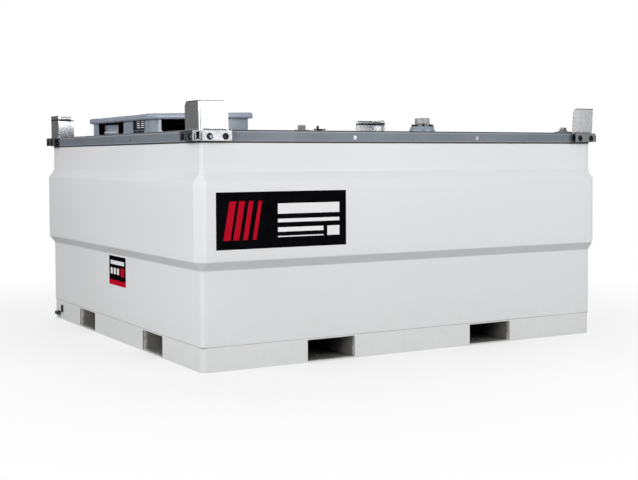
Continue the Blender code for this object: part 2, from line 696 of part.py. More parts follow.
def build_roof_fittings(grey, zinc, black):
    """Vent with its cap, dip point with its plug, a small lever valve, and the corner plug."""
    base = ROOF_TOP + GAP
    turned("roof_vent_boss", VENT_PLACE, base, VENT_PROFILE, grey)
    turned("roof_vent_cap", VENT_PLACE, base + VENT_PROFILE[-1][1] + GAP, VENT_CAP_PROFILE, zinc)
    turned("dip_point_boss", DIP_PLACE, base, DIP_PROFILE, grey)
    turned("dip_point_plug", DIP_PLACE, base + DIP_PROFILE[-1][1] + GAP, DIP_PLUG_PROFILE, zinc)
    turned("corner_plug_boss", CORNER_PLACE, base, CORNER_PROFILE, grey)
    turned("corner_plug", CORNER_PLACE, base + CORNER_PROFILE[-1][1] + GAP, CORNER_PLUG_PROFILE, zinc)
    x, y = VALVE_PLACE
    valve = turned("lever_valve", VALVE_PLACE, base, VALVE_PROFILE, black)
    lever = box("valve_lever_guide", (x + LEVER_REACH[0], y - LEVER_WIDTH / 2, base + LEVER_LEVELS[0]),
                (x + LEVER_REACH[1], y + LEVER_WIDTH / 2, base + LEVER_LEVELS[1]), None)
    knob = cylinder("valve_knob_guide", (x + KNOB_SHIFT, y, base + sum(KNOB_LEVELS) / 2), KNOB_RADIUS,
                    KNOB_LEVELS[1] - KNOB_LEVELS[0], "Z", None)
    combine(valve, lever, "UNION")
    combine(valve, knob, "UNION")


def build_skid_fittings(black):
    """The earthing lug and the chain link beside it, low on the left side near the back."""
    face = -WIDTH / 2 - GAP
    box("earth_lug", (face - EARTH_LUG_REACH, EARTH_LUG_Y[0], EARTH_LUG_Z[0]),
        (face, EARTH_LUG_Y[1], EARTH_LUG_Z[1]), black)
    link = box("chain_link", (face - CHAIN_THICKNESS, CHAIN_Y[0], CHAIN_Z[0]),
               (face, CHAIN_Y[1], CHAIN_Z[1]), black)
    wall = CHAIN_THICKNESS
    hole = box("chain_link_cutter", (face - CHAIN_THICKNESS * 2, CHAIN_Y[0] + wall, CHAIN_Z[0] + wall),
               (face + CHAIN_THICKNESS, CHAIN_Y[1] - wall, CHAIN_Z[1] - wall), None)
    combine(link, hole, "DIFFERENCE")


def build_brackets(look):
    """The four corner brackets."""
    for name, flip_x, flip_y in (("bracket_front_left", 1, 1), ("bracket_front_right", -1, 1),
                                 ("bracket_back_right", -1, -1), ("bracket_back_left", 1, -1)):
        build_bracket(name, flip_x, flip_y, look)


def main():
    for old in list(bpy.data.objects):
        bpy.data.objects.remove(old)
    white = material("white_paint", (0.80, 0.80, 0.81), 0.35, 0.0)
    grey = material("grey_paint", (0.20, 0.23, 0.26), 0.45, 0.0)
    rubber = material("black_rubber", (0.02, 0.02, 0.025), 0.8, 0.0)
    zinc = material("galvanised_steel", (0.62, 0.63, 0.64), 0.4, 1.0)
    build_skid(white)
    build_walls(white)
    build_rim(grey, rubber)
    build_deck(grey)
    build_cabinet(grey, rubber)
    build_lid(grey, zinc)
    build_brackets(zinc)
    build_roof_fittings(grey, zinc, rubber)
    build_skid_fittings(rubber)


main()
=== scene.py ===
import math
from functools import partial

import bmesh
import bpy
from mathutils import Matrix, Vector, noise


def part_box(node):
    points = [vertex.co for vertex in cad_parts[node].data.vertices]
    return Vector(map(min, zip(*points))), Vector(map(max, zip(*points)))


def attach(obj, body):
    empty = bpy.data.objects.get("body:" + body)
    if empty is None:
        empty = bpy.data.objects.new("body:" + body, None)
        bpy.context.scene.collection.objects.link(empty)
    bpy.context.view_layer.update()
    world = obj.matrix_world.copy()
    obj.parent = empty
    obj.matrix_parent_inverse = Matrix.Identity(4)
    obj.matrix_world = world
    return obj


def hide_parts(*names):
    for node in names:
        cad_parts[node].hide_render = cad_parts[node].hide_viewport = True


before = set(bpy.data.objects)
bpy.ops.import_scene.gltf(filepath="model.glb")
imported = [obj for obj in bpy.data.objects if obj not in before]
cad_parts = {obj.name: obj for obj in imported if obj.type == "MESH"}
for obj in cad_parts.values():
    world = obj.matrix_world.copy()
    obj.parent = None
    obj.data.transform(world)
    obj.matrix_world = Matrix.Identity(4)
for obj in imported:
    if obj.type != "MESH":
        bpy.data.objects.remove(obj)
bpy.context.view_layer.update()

# Camera, solved from the photograph's straight edges
IMAGE_WIDTH = 638
IMAGE_HEIGHT = 480
FOCAL_PIXELS = 1145.59
HORIZON_CENTRE = 194.07
CAMERA_PLACE = (-3.1227, -5.5577, 0.9279)
CAMERA_YAW = 0.5227
CAMERA_PITCH = 0.0318
CAMERA_ROLL = -0.0047
SENSOR = 36.0

# Whole tank, read from the frame
HALF_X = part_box("tank_floor")[1].x
HALF_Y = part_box("tank_floor")[1].y
SKID_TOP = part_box("tank_floor")[1].z
BELLY_OUT = -HALF_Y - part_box("front_wall")[0].y
SHELL_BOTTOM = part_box("front_wall")[0].z
SHELL_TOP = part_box("front_wall")[1].z
RIM_OUT = -HALF_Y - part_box("front_rim")[0].y
RIM_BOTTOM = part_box("front_rim")[0].z
ROOF_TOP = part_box("roof_deck_main")[1].z

# Roof greys in two tones each, and the dust on them
RIM_COLOURS = ((0.168, 0.194, 0.222), (0.146, 0.170, 0.196))
CABINET_COLOURS = ((0.272, 0.318, 0.368), (0.240, 0.284, 0.332))
LID_COLOURS = ((0.308, 0.342, 0.410), (0.274, 0.306, 0.370))
DUST = (0.36, 0.37, 0.38)

# Shell
SHEET = 0.006
WALL_RADIUS = 0.020
WALL_CUT = 0.0122
BELLY_BEND = 0.009
BELLY_CUT = 0.043
BELLY_LOW = (0.440, 0.480)
BELLY_HIGH = (0.822, 0.865)
FOLD_RADIUS = 0.011
RIPPLE = 0.0009
RIPPLE_FADE = 0.22
RIPPLE_WAVES = (2.1, 4.3)
RIPPLE_SHIFTS = (11.3, 5.1, 0.4)
FILM_FADE = 0.10
SHELL_LIP = 0.0016
RING_SPACING = 0.035
SEAM_SECTION = ((-0.0030, -0.0012), (-0.0009, -0.0010), (-0.0009, 0.0010), (-0.0030, 0.0012))

# Skid
SKID_RADIUS = 0.032
LANE_WIDTH = 0.250
LANE_LEVELS = (0.006, 0.102)
FRONT_LANES = (-0.466, 0.450)
SIDE_LANES = (-0.484, 0.462)
DRAIN_RADIUS = 0.014
DRAIN_SET_BACK = 0.120
DRAIN_LEVELS = (-0.010, 0.020)
MOUTH_FRAME = 0.008
MOUTH_PROUD = 0.0012
MOUTH_SUNK = 0.004
MOUTH_MARGIN = 0.0006

# Roof rim
FRONT_RIM_BOLTS = (-0.339, 0.368)
SIDE_RIM_BOLTS = (-0.226, 0.415)
RIM_BOLT_Z = 1.019
RIM_BOLT_SIZE = (0.0066, 0.0065)

# Cabinet and lid in plan, anticlockwise from the near left corner
CABINET_CORNERS = ((-1.011, -0.2410), (-0.619, -0.5256), (-0.619, 0.9225), (-1.011, 0.6379))
CABINET_RADII = (0.076, 0.004, 0.004, 0.036)
LID_CORNERS = ((-1.035, -0.257), (-0.607, -0.5678), (-0.607, 0.9558), (-1.035, 0.645))
LID_RADII = (0.100, 0.012, 0.012, 0.060)
LID_BOTTOM = 1.1203
LID_TOP = 1.1503
LID_ROLL = 0.013
LID_UNDER_ROLL = 0.010
LID_STEPS = 14
LID_ROLL_STEPS = 7
LID_UNDERSIDE = ((0.070, 0.017), (0.046, 0.017), (0.043, 0.014), (0.040, 0.002), (0.038, 0.0))
LID_CROWN = ((0.020, -0.0006), (0.027, -0.0030), (0.034, -0.0034), (0.044, -0.0022), (0.080, 0.0006),
             (0.120, 0.0016))
RIB_PLACES = (-0.060, 0.430)
RIB_INSET = 0.075
RIB_TOP = LID_BOTTOM + 0.0168
RIB_SECTION = ((-0.045, 0.0), (-0.030, 0.0), (-0.020, -0.012), (0.020, -0.012), (0.030, 0.0), (0.045, 0.0),
               (0.045, -0.0012), (0.031, -0.0012), (0.0212, -0.0135), (-0.0212, -0.0135),
               (-0.031, -0.0012), (-0.045, -0.0012))
CABINET_SHEET = 0.005
CABINET_TOP = 1.120
CABINET_FLOOR = 0.8003
LID_LEAST_RADIUS = 0.004
CABINET_LEAST_RADIUS = 0.002

# Cabinet openings, vent plate, port cover and hinges
NOTCH_BOTTOM = 1.058
NOTCH_ROUND = 0.018
NOTCH_STEPS = 8
NOTCH_PAST = 0.020
SIDE_OPENING = (0.153, 0.550)
VENT_OPENING = (-0.146, 0.021)
SLANT_OPENING = (0.049, 0.328)
VENT_COLUMNS = (-0.0487, -0.1050)
VENT_ROWS = 4
VENT_TOP_ROW = 1.1145
VENT_ROW_PITCH = 0.0101
SLAT_HALF = (0.019, 0.0022)
SLAT_ROUND = 0.0018
SLAT_PROFILE = ((0.0, 1.0), (0.0012, 1.0), (0.0018, 0.92))
VENT_STRIP = (-0.138, 0.008, 1.0685, 1.0712)
VENT_STRIP_DEPTH = 0.004
PORT_SCREW_Y = 0.501
PORT_SCREWS = (1.0850, 1.0976, 1.1100)
PORT_SCREW_SIZE = (0.0050, 0.0060)
PORT_SCREW_SUNK = 0.0045
PORT_FLANGE = (-0.0045, 0.001, 1.0690, 1.0735)
PORT_FLANGE_STEPS = 12
HINGE_X = -0.598
HINGE_Z = 1.1345
HINGE_RADIUS = 0.006
HINGE_ENDS = (-0.250, 0.620)
KNUCKLE = 0.030
KNUCKLE_LAP = 0.004

# Corner brackets
CORNERS = (("front_left", -1, -1), ("front_right", 1, -1), ("back_right", 1, 1), ("back_left", -1, 1))
PIN_HOLES = (0.027, 0.102)
PIN_HOLE_Z = 1.021
# Black sheets behind the pin holes, as painted shadow.
PIN_SHADOW_HALF_HEIGHT = 0.0155
PIN_SHADOW_SPAN = (-0.012, 0.122)
PIN_SHADOW_OUT = (0.0300, 0.0320)
PIN_SHADE_RADIUS = 0.0150
SKIRT_TOP = 1.047
UPRIGHT_LENGTHS = (0.130, 0.141)
UPRIGHT_CUT = 0.018
UPRIGHT_BACK = 0.0028
UPRIGHT_LEANS = (0.0065, 0.0020)
BRACKET_BOTTOM = 1.0015
BRACKET_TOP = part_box("bracket_front_left")[1].z
TOP_BAR_Z = 1.164
TOP_BAR_RADIUS = 0.0098
TOP_BAR_INSET = 0.0058
TOP_BAR_START = 0.004
WELD_RADIUS = 0.0048
WELD_RISE = 0.0038
WELD_OUT = 0.0055
WELD_ENDS = (0.010, 0.008)
WELD_PITCH = 0.0022
WELD_WAVE = (0.16, 1.9)
WELD_TIP = 0.35
WELD_SIDES = 10
FAR_PIN_SHIFT = (0.003, -0.001)
FAR_PIN_BOLT = (0.0036, 0.0080)
NEAR_PIN_SHIFTS = (0.007, -0.005)
NEAR_PIN_BOLT = (0.0092, 0.0330)

# Roof vent bolts and earthing screw, and how far bolts are sunk and bevelled
VENT_BOLTS = 8
VENT_BOLT_REACH = 0.70
VENT_BOLT_TURN = 0.35
VENT_BOLT_SIZE = (0.0072, 0.0110)
EARTH_SCREW_SIZE = (0.0065, 0.0070)
BOLT_SUNK = 0.0005
BOLT_EDGE = 0.0003

# Angles in degrees, steps of rounds and sides, and the merge distance
EDGE_ANGLE = 32
FLAT_ANGLE = 0.5
CORNER_STEPS = 10
BEND_STEPS = 5
SIDE_PIECES = 36
ROUND_SIDES = 28
MERGE = 0.00002

# Printed films on the shell, by (start, end) along and up, with plain bars by start, end, low and high
FRONT_FILM = ((-1.057, -0.4045), (0.5307, 0.7805))
FRONT_FILM_EDGE = 0.004
STRIPE_START = 0.034
STRIPE_PITCH = 0.047
STRIPE_WIDTHS = (0.033, 0.028, 0.023, 0.018)
STRIPE_LEVELS = (0.040, 0.2098)
STRIPE_SLANT = 0.030
FRONT_BARS = ((0.300, 0.6165, 0.150, 0.196), (0.300, 0.6165, 0.112, 0.128), (0.300, 0.5325, 0.070, 0.090),
              (0.300, 0.5325, 0.047, 0.052), (0.5525, 0.6165, 0.047, 0.090))
SIDE_FILM = ((-0.1343, 0.1043), (0.2818, 0.4308))
SIDE_FILM_EDGE = 0.003
SIDE_REDS = ((0.0, 0.2386, 0.0, 0.026), (0.1686, 0.2166, 0.050, 0.094))
SIDE_BAR = (0.022, 0.2166, 0.106, 0.126)
SIDE_ROW_STARTS = (0.022, 0.068, 0.114)
SIDE_ROW_WIDTH = 0.030
SIDE_ROW_LEVELS = (0.056, 0.088)
FILM_LIFTS = (0.0005, 0.0009, 0.0013, 0.0013)
FILM_THICKNESS = 0.0003

# Studio lights by name, with place, target, size and power
LIGHTS = {
    "front_panel": ((1.7, -5.7, 2.1), (0.0, -1.0, 0.6), (3.6, 3.2), 158.0),
    "left_panel": ((-5.4, 0.2, 2.7), (-1.0, 0.1, 0.6), (4.2, 2.6), 130.0),
    "top_panel": ((0.0, 0.0, 5.0), (0.0, 0.0, 0.0), (6.0, 6.0), 90.0),
    "back_panel": ((2.0, 6.0, 2.4), (0.0, 1.0, 0.6), (3.6, 2.4), 130.0),
    "right_panel": ((6.0, 1.2, 2.4), (1.0, 0.0, 0.6), (3.6, 2.4), 130.0),
    "fill_panel": ((5.2, -5.4, 1.8), (1.0, -1.0, 1.0), (4.0, 3.0), 21.0),
    "corner_panel": ((-5.2, -4.4, 1.6), (-1.0, -1.0, 0.6), (2.4, 2.4), 138.0),
}
SURROUND_LIGHT = 0.12
FLOOR_RADIUS = 60.0
FLOOR_SIDES = 64
FLOOR_FADE = (1.5, 3.5)
FLOOR_GLOW = 0.6


class Look:
    """A Principled material whose colour, roughness and bump come from nodes."""

    def __init__(self, name, metallic=0.0, roughness=0.5):
        self.material = bpy.data.materials.new(name)
        self.material.use_nodes = True
        self.tree = self.material.node_tree
        self.shader = self.tree.nodes["Principled BSDF"]
        self.shader.inputs["Metallic"].default_value = metallic
        self.shader.inputs["Roughness"].default_value = roughness
        self.where = self.node("ShaderNodeTexCoord").outputs["Object"]

    def node(self, kind, **settings):
        made = self.tree.nodes.new(kind)
        for key, value in settings.items():
            setattr(made, key, value)
        return made

    def link(self, source, target):
        self.tree.links.new(source, target)

    def feed(self, value, target):
        """Link a socket to an input, or set the input to a number or a colour."""
        if isinstance(value, bpy.types.NodeSocket):
            self.link(value, target)
        else:
            target.default_value = (*value, 1.0) if isinstance(value, tuple) else value

    def maths(self, operation, *values):
        made = self.node("ShaderNodeMath", operation=operation)
        for index, value in enumerate(values):
            self.feed(value, made.inputs[index])
        return made.outputs[0]

    def axis(self, index):
        return self.split().outputs[index]

    def split(self):
        made = self.node("ShaderNodeSeparateXYZ")
        self.link(self.where, made.inputs[0])
        return made

    def noise(self, scale, detail=4.0, stretch=(1, 1, 1)):
        mapping = self.node("ShaderNodeMapping")
        mapping.inputs["Scale"].default_value = stretch
        self.link(self.where, mapping.inputs["Vector"])
        made = self.node("ShaderNodeTexNoise")
        made.inputs["Scale"].default_value = scale
        made.inputs["Detail"].default_value = detail
        self.link(mapping.outputs[0], made.inputs["Vector"])
        return made.outputs["Fac"]

    def cells(self, scale):
        made = self.node("ShaderNodeTexVoronoi")
        made.inputs["Scale"].default_value = scale
        self.link(self.where, made.inputs["Vector"])
        return made.outputs["Color"]

    def span(self, source, low, high, start=0.0, end=1.0):
        """Map a stretch of a value onto another one, smoothly and with clamped ends."""
        made = self.node("ShaderNodeMapRange", interpolation_type="SMOOTHSTEP")
        self.link(source, made.inputs["Value"])
        for name, value in (("From Min", low), ("From Max", high), ("To Min", start), ("To Max", end)):
            made.inputs[name].default_value = value
        return made.outputs[0]

    def mix(self, share, first, second):
        made = self.node("ShaderNodeMix", data_type="RGBA")
        for index, value in ((0, share), (6, first), (7, second)):
            self.feed(value, made.inputs[index])
        return made.outputs[2]

    def colour(self, source):
        self.base = source
        self.link(source, self.shader.inputs["Base Color"])

    def rough(self, source):
        self.link(source, self.shader.inputs["Roughness"])

    def bump(self, scale, detail, strength, distance):
        made = self.node("ShaderNodeBump")
        made.inputs["Strength"].default_value = strength
        made.inputs["Distance"].default_value = distance
        self.link(self.noise(scale, detail), made.inputs["Height"])
        self.link(made.outputs[0], self.shader.inputs["Normal"])


def painted(name, base, shade, roughness):
    """Sprayed steel paint: broad tone changes, faint dust, fine orange peel."""
    look = Look(name)
    tone = look.mix(look.span(look.noise(2.6, 5.0), 0.35, 0.65), base, shade)
    specks = look.span(look.noise(38.0, 6.0), 0.56, 0.72, 0.0, 0.10)
    look.colour(look.mix(specks, tone, DUST))
    look.rough(look.span(look.noise(9.0, 5.0), 0.3, 0.7, roughness - 0.05, roughness + 0.07))
    look.bump(420.0, 2.0, 0.05, 0.0006)
    return look


def distance_out(look):
    """How far a point lies outside the tank's plan, negative inside."""
    split = look.split()
    sides = []
    for index, half in ((0, HALF_X), (1, HALF_Y)):
        sides.append(look.maths("SUBTRACT", look.maths("ABSOLUTE", split.outputs[index]), half))
    return look.maths("MAXIMUM", *sides)


def rim_paint():
    """Roof grey, darkened on the top bend, with a painted highlight line under it and a painted highlight on
    the lower edge.
    """
    look = painted("rim_grey", *RIM_COLOURS, 0.42)
    height = look.axis(2)
    # Darkened along the outer top bend.
    bend = look.span(height, ROOF_TOP - 0.0052, ROOF_TOP - 0.0040)
    outer = look.span(distance_out(look), -0.0052, -0.0040)
    darkened = look.mix(look.maths("MULTIPLY", bend, outer), look.base, (0.022, 0.026, 0.031))
    # Painted highlights: a line under the top bend and a band along the rim's lower edge.
    painted_bend_highlight = look.maths("MULTIPLY", look.span(height, ROOF_TOP - 0.0110, ROOF_TOP - 0.0095),
                        look.span(height, ROOF_TOP - 0.0060, ROOF_TOP - 0.0052, 0.55, 0.0))
    lower = look.span(height, RIM_BOTTOM + 0.0035, RIM_BOTTOM + 0.0050, 0.35, 0.0)
    painted_highlights = look.maths("MAXIMUM", painted_bend_highlight, lower)
    look.colour(look.mix(painted_highlights, darkened, (0.40, 0.44, 0.48)))
    return look


def shell_paint():
    """White shell paint with rain marks, painted shade on the slope under the belly band, and dust near the
    ground.
    """
    look = Look("shell_white")
    look.shader.inputs["Specular IOR Level"].default_value = 0.32
    tone = look.mix(look.span(look.noise(1.1), 0.3, 0.7), (0.790, 0.795, 0.805), (0.772, 0.778, 0.788))
    streaks = look.span(look.noise(1.0, 6.0, (22, 22, 1.3)), 0.50, 0.80, 0.0, 0.10)
    washed = look.mix(streaks, tone, (0.72, 0.72, 0.71))
    height = look.axis(2)
    low = look.span(height, 0.02, 0.34, 0.16, 0.0)
    dusty = look.maths("MULTIPLY", low, look.span(look.noise(14.0, 8.0), 0.30, 0.75))
    # Painted shade: the slope under the belly band is darkened.
    painted_shade_slope = look.maths("MULTIPLY", look.span(height, BELLY_LOW[0] - 0.004, BELLY_LOW[0] + 0.004),
                       look.span(height, BELLY_LOW[1] - 0.004, BELLY_LOW[1] + 0.004, 1.0, 0.0))
    darkened = look.mix(painted_shade_slope, look.mix(dusty, washed, (0.62, 0.61, 0.58)), (0.690, 0.695, 0.705))
    look.colour(darkened)
    look.rough(look.span(look.noise(5.0, 5.0), 0.3, 0.7, 0.28, 0.35))
    look.bump(380.0, 2.0, 0.04, 0.0006)
    return look


def skid_paint():
    """The shell's white outside, thin overspray into the fork tunnels, and bare primer inside, darkened
    deeper in as painted shade.
    """
    look = Look("skid_white")
    tone = look.mix(look.span(look.noise(2.3), 0.3, 0.7), (0.775, 0.780, 0.785), (0.745, 0.750, 0.752))
    grime = look.span(look.noise(26.0, 8.0), 0.50, 0.80, 0.0, 0.16)
    outside = look.mix(grime, tone, (0.56, 0.55, 0.52))
    chips = look.span(look.noise(120.0, 3.0), 0.755, 0.765, 0.0, 0.8)
    outside = look.mix(chips, outside, (0.24, 0.23, 0.22))
    reach = distance_out(look)
    ragged = look.maths("ADD", reach, look.span(look.noise(45.0), 0.3, 0.7, -0.005, 0.005))
    inside = look.span(ragged, -0.026, -0.008, 1.0, 0.0)
    # Painted shade: the primer turns darker further into the tunnels.
    painted_tunnel_shade = look.span(reach, -0.170, -0.015, 1.0, 0.0)
    mottle = look.span(look.noise(9.0, 6.0), 0.35, 0.65, 0.75, 1.0)
    primer_and_shade = look.mix(look.maths("MULTIPLY", painted_tunnel_shade, mottle), (0.230, 0.222, 0.205), (0.050, 0.050, 0.052))
    look.colour(look.mix(inside, outside, primer_and_shade))
    look.rough(look.span(look.noise(12.0, 5.0), 0.3, 0.7, 0.34, 0.52))
    look.bump(300.0, 2.0, 0.05, 0.0008)
    return look


def galvanised(name, bright, dull, metallic=0.92, roughness=0.34, bump=0.12):
    """Hot-dip zinc: crystals of slightly different tone, and cloudy dull patches."""
    look = Look(name, metallic=metallic)
    crystal = look.node("ShaderNodeSeparateColor")
    look.link(look.cells(95.0), crystal.inputs[0])
    grain = look.maths("ADD", crystal.outputs[0], look.noise(60.0, 5.0))
    tone = look.mix(look.span(grain, 0.4, 1.5), dull, bright)
    cloud = look.span(look.noise(11.0, 6.0), 0.5, 0.72, 0.0, 0.55)
    look.colour(look.mix(cloud, tone, dull))
    look.rough(look.span(grain, 0.4, 1.5, roughness + 0.06, roughness - 0.03))
    look.bump(160.0, 4.0, bump, 0.0008)
    return look


def hole_shade(look):
    """Painted shade in the brackets' pin holes and around their edges."""
    split = look.split()
    rise = look.maths("SUBTRACT", split.outputs[2], PIN_HOLE_Z)
    rise_squared = look.maths("MULTIPLY", rise, rise)
    shade_here = None
    for index, half in ((0, HALF_X), (1, HALF_Y)):
        for distance in PIN_HOLES:
            along = look.maths("SUBTRACT", look.maths("ABSOLUTE", split.outputs[index]), half - distance)
            reach = look.maths("SQRT", look.maths("ADD", look.maths("MULTIPLY", along, along), rise_squared))
            inside = look.span(reach, PIN_SHADE_RADIUS - 0.0002, PIN_SHADE_RADIUS + 0.0002, 1.0, 0.0)
            shade_here = look.maths("MAXIMUM", shade_here, inside) if shade_here else inside
    return shade_here


def bracket_zinc():
    """The brackets' zinc, darker on the top edge and the skirt, with painted shade in the pin holes and a
    painted shadow under the bar.
    """
    look = galvanised("bracket_zinc", (0.75, 0.76, 0.77), (0.63, 0.64, 0.66), 0.92, 0.27, 0.03)
    height = look.axis(2)
    ragged = look.maths("ADD", height, look.span(look.noise(70.0), 0.3, 0.7, -0.0012, 0.0012))
    # Darkened along the top edge.
    top = look.span(height, BRACKET_TOP - 0.0050, BRACKET_TOP - 0.0038, 0.0, 0.88)
    # Painted shadow on the inner faces under the top bar.
    inner = look.span(distance_out(look), 0.0098, 0.0108, 1.0, 0.0)
    low = look.span(ragged, TOP_BAR_Z - 0.0170, TOP_BAR_Z - 0.0150)
    high = look.span(height, TOP_BAR_Z - 0.0080, TOP_BAR_Z - 0.0060, 1.0, 0.0)
    painted_bar_shadow = look.maths("MULTIPLY", inner, look.maths("MULTIPLY", low, high))
    # Darker below the skirt's top.
    skirt = look.span(height, SKIRT_TOP - 0.0005, SKIRT_TOP + 0.0005, 0.80, 0.0)
    darker_skirt = look.mix(skirt, look.base, (0.135, 0.140, 0.148))
    # Painted shade in the pin holes, with the darkened top edge and the painted shadow under the bar.
    dark = look.maths("MAXIMUM", look.maths("MAXIMUM", top, painted_bar_shadow), hole_shade(look))
    look.colour(look.mix(dark, darker_skirt, (0.050, 0.052, 0.056)))
    return look


def plain(name, first, second, roughness, scale=30.0, metallic=0.0, specular=0.5):
    """A small part's finish: two close tones and a slightly uneven gloss."""
    look = Look(name, metallic=metallic)
    look.shader.inputs["Specular IOR Level"].default_value = specular
    look.colour(look.mix(look.span(look.noise(scale, 5.0), 0.35, 0.65), first, second))
    look.rough(look.span(look.noise(scale * 2, 4.0), 0.3, 0.7, roughness - 0.06, roughness + 0.06))
    look.bump(scale * 12, 2.0, 0.06, 0.0004)
    return look


def make_looks():
    """Every finish of the tank by name."""
    return {
        "shell": shell_paint(),
        "skid": skid_paint(),
        "rim": rim_paint(),
        "cabinet": painted("cabinet_grey", *CABINET_COLOURS, 0.24),
        "lid": painted("lid_grey", *LID_COLOURS, 0.24),
        "deck": painted("deck_grey", (0.195, 0.225, 0.255), (0.165, 0.192, 0.220), 0.50),
        # Near-black inside of the cabinet, painted shade.
        "inside": plain("cabinet_inside_painted_shade", (0.020, 0.023, 0.034), (0.012, 0.014, 0.021), 0.55, specular=0.2),
        "zinc": bracket_zinc(),
        "cap": galvanised("cap_zinc", (0.42, 0.43, 0.44), (0.33, 0.34, 0.35), 0.35, 0.50, 0.04),
        "plug": galvanised("plug_zinc", (0.40, 0.41, 0.41), (0.24, 0.25, 0.25), 0.45, 0.40),
        "bolt": galvanised("bolt_zinc", (0.56, 0.57, 0.58), (0.36, 0.37, 0.38), 0.90, 0.32),
        "weld": plain("weld_zinc", (0.34, 0.35, 0.37), (0.22, 0.23, 0.25), 0.5, 90.0, 0.8),
        "rubber": plain("seal_rubber", (0.022, 0.024, 0.028), (0.038, 0.040, 0.044), 0.62),
        "plastic": plain("black_plastic", (0.008, 0.008, 0.010), (0.014, 0.014, 0.017), 0.42, specular=0.15),
        "green": plain("earth_green", (0.020, 0.060, 0.040), (0.012, 0.030, 0.022), 0.5),
        "slat": plain("vent_slat_white", (0.86, 0.86, 0.86), (0.78, 0.78, 0.78), 0.5),
        "film_black": plain("film_black", (0.0025, 0.0025, 0.003), (0.004, 0.0035, 0.0045), 0.45, 12.0,
                            specular=0.0),
        "film_white": plain("film_white", (0.86, 0.86, 0.86), (0.82, 0.82, 0.83), 0.40, 12.0),
        "film_red": plain("film_red", (0.52, 0.006, 0.024), (0.46, 0.005, 0.019), 0.45, 12.0, specular=0.0),
    }


looks = make_looks()


def add_piece(name, bm, *finishes):
    """Turn an edited mesh into an object with outward faces."""
    bmesh.ops.recalc_face_normals(bm, faces=bm.faces)
    mesh = bpy.data.meshes.new(name)
    bm.to_mesh(mesh)
    bm.free()
    for finish in finishes:
        mesh.materials.append(looks[finish].material)
    made = bpy.data.objects.new(name, mesh)
    bpy.context.scene.collection.objects.link(made)
    return made


def shade(piece, angle=EDGE_ANGLE):
    """Shade smoothly, except over edges sharper than an angle."""
    piece.data.shade_smooth()
    piece.data.set_sharp_from_angle(angle=math.radians(angle))


def apply_changes(piece):
    """Make a piece's modifiers part of its mesh."""
    graph = bpy.context.evaluated_depsgraph_get()
    mesh = bpy.data.meshes.new_from_object(piece.evaluated_get(graph))
    piece.modifiers.clear()
    piece.data = mesh


def round_edges(piece, width, steps=2):
    """Bevel the sharp edges and keep the flats flat in the shading."""
    shade(piece)
    change = piece.modifiers.new("edges", "BEVEL")
    change.width = width
    change.segments = steps
    change.limit_method = "ANGLE"
    change.angle_limit = math.radians(EDGE_ANGLE)
    change.use_clamp_overlap = True
    change.harden_normals = True
    apply_changes(piece)


def cut(piece, *cutters):
    """Cut solids out of a piece."""
    for cutter in cutters:
        change = piece.modifiers.new(cutter.name, "BOOLEAN")
        change.operation = "DIFFERENCE"
        change.solver = "EXACT"
        change.object = cutter
    apply_changes(piece)
    for cutter in cutters:
        bpy.data.objects.remove(cutter)


def fit(piece, body, slot, *nodes):
    """Let a piece ride on a body and stand for CAD nodes; slot is not used."""
    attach(piece, body)
    if nodes:
        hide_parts(*nodes)


def smooth_piece(name, bm, finish, body, slot, *nodes, angle=EDGE_ANGLE):
    """Make a smoothly shaded piece and fit it."""
    piece = add_piece(name, bm, finish)
    shade(piece, angle)
    fit(piece, body, slot, *nodes)


def bevelled_piece(name, bm, finish, width, body, slot, *nodes, steps=2):
    """Make a piece with bevelled edges and fit it."""
    piece = add_piece(name, bm, finish)
    round_edges(piece, width, steps)
    fit(piece, body, slot, *nodes)


def oblong(start, end, low, high, slant=0.0):
    """Corners of an oblong between two distances and two heights, leaning by a slant."""
    return ((start, low), (end, low), (end + slant, high), (start + slant, high))


def rectangle(half_x, half_y):
    """Corners of a rectangle round the origin, anticlockwise."""
    return oblong(-half_x, half_x, -half_y, half_y)


def directions(before, here, after):
    """Unit vectors from a point back to the one before it and ahead to the one after it."""
    return (Vector(before) - Vector(here)).normalized(), (Vector(after) - Vector(here)).normalized()


def offset_corners(corners, out):
    """Move every side of an anticlockwise outline outwards."""
    moved = []
    for index, corner in enumerate(corners):
        back, ahead = directions(corners[index - 1], corner, corners[(index + 1) % len(corners)])
        first = Vector((-back.y, back.x))
        middle = (first + Vector((ahead.y, -ahead.x))).normalized()
        moved.append(tuple(Vector(corner) + middle * (out / middle.dot(first))))
    return moved


def rounded_outline(corners, radii, steps=CORNER_STEPS, pieces=(1,)):
    """Trace an anticlockwise outline with a round at each corner and points along its sides."""
    arcs = []
    count = len(corners)
    for index in range(count):
        here = Vector(corners[index])
        back, ahead = directions(corners[index - 1], here, corners[(index + 1) % count])
        half = back.angle(ahead) / 2
        centre = here + (back + ahead).normalized() * (radii[index] / math.sin(half))
        spoke = here + back * (radii[index] / math.tan(half)) - centre
        sweep = math.pi - 2 * half
        arcs.append([centre + Matrix.Rotation(sweep * step / steps, 2) @ spoke for step in range(steps + 1)])
    outline = []
    for index, arc in enumerate(arcs):
        after = arcs[(index + 1) % count][0]
        parts = pieces[index % len(pieces)]
        outline += arc
        outline += [arc[-1].lerp(after, step / parts) for step in range(1, parts)]
    return outline


def cut_rectangle(half_x, half_y, cut_here):
    """Corners of a rectangle whose corners are cut at 45 degrees, from its left side on."""
    x = half_x - cut_here
    y = half_y - cut_here
    return ((-half_x, -y), (-x, -half_y), (x, -half_y), (half_x, -y),
            (half_x, y), (x, half_y), (-x, half_y), (-half_x, y))


def level_ring(outline, height):
    """An outline's points at one height."""
    return [(x, y, height) for x, y in outline]


def circle(radius, height, sides, first=0.0):
    """Points of a circle round the Z axis, from a share of a side on."""
    points = []
    for side in range(sides):
        angle = 2 * math.pi * (side + first) / sides
        points.append(Vector((radius * math.cos(angle), radius * math.sin(angle), height)))
    return points


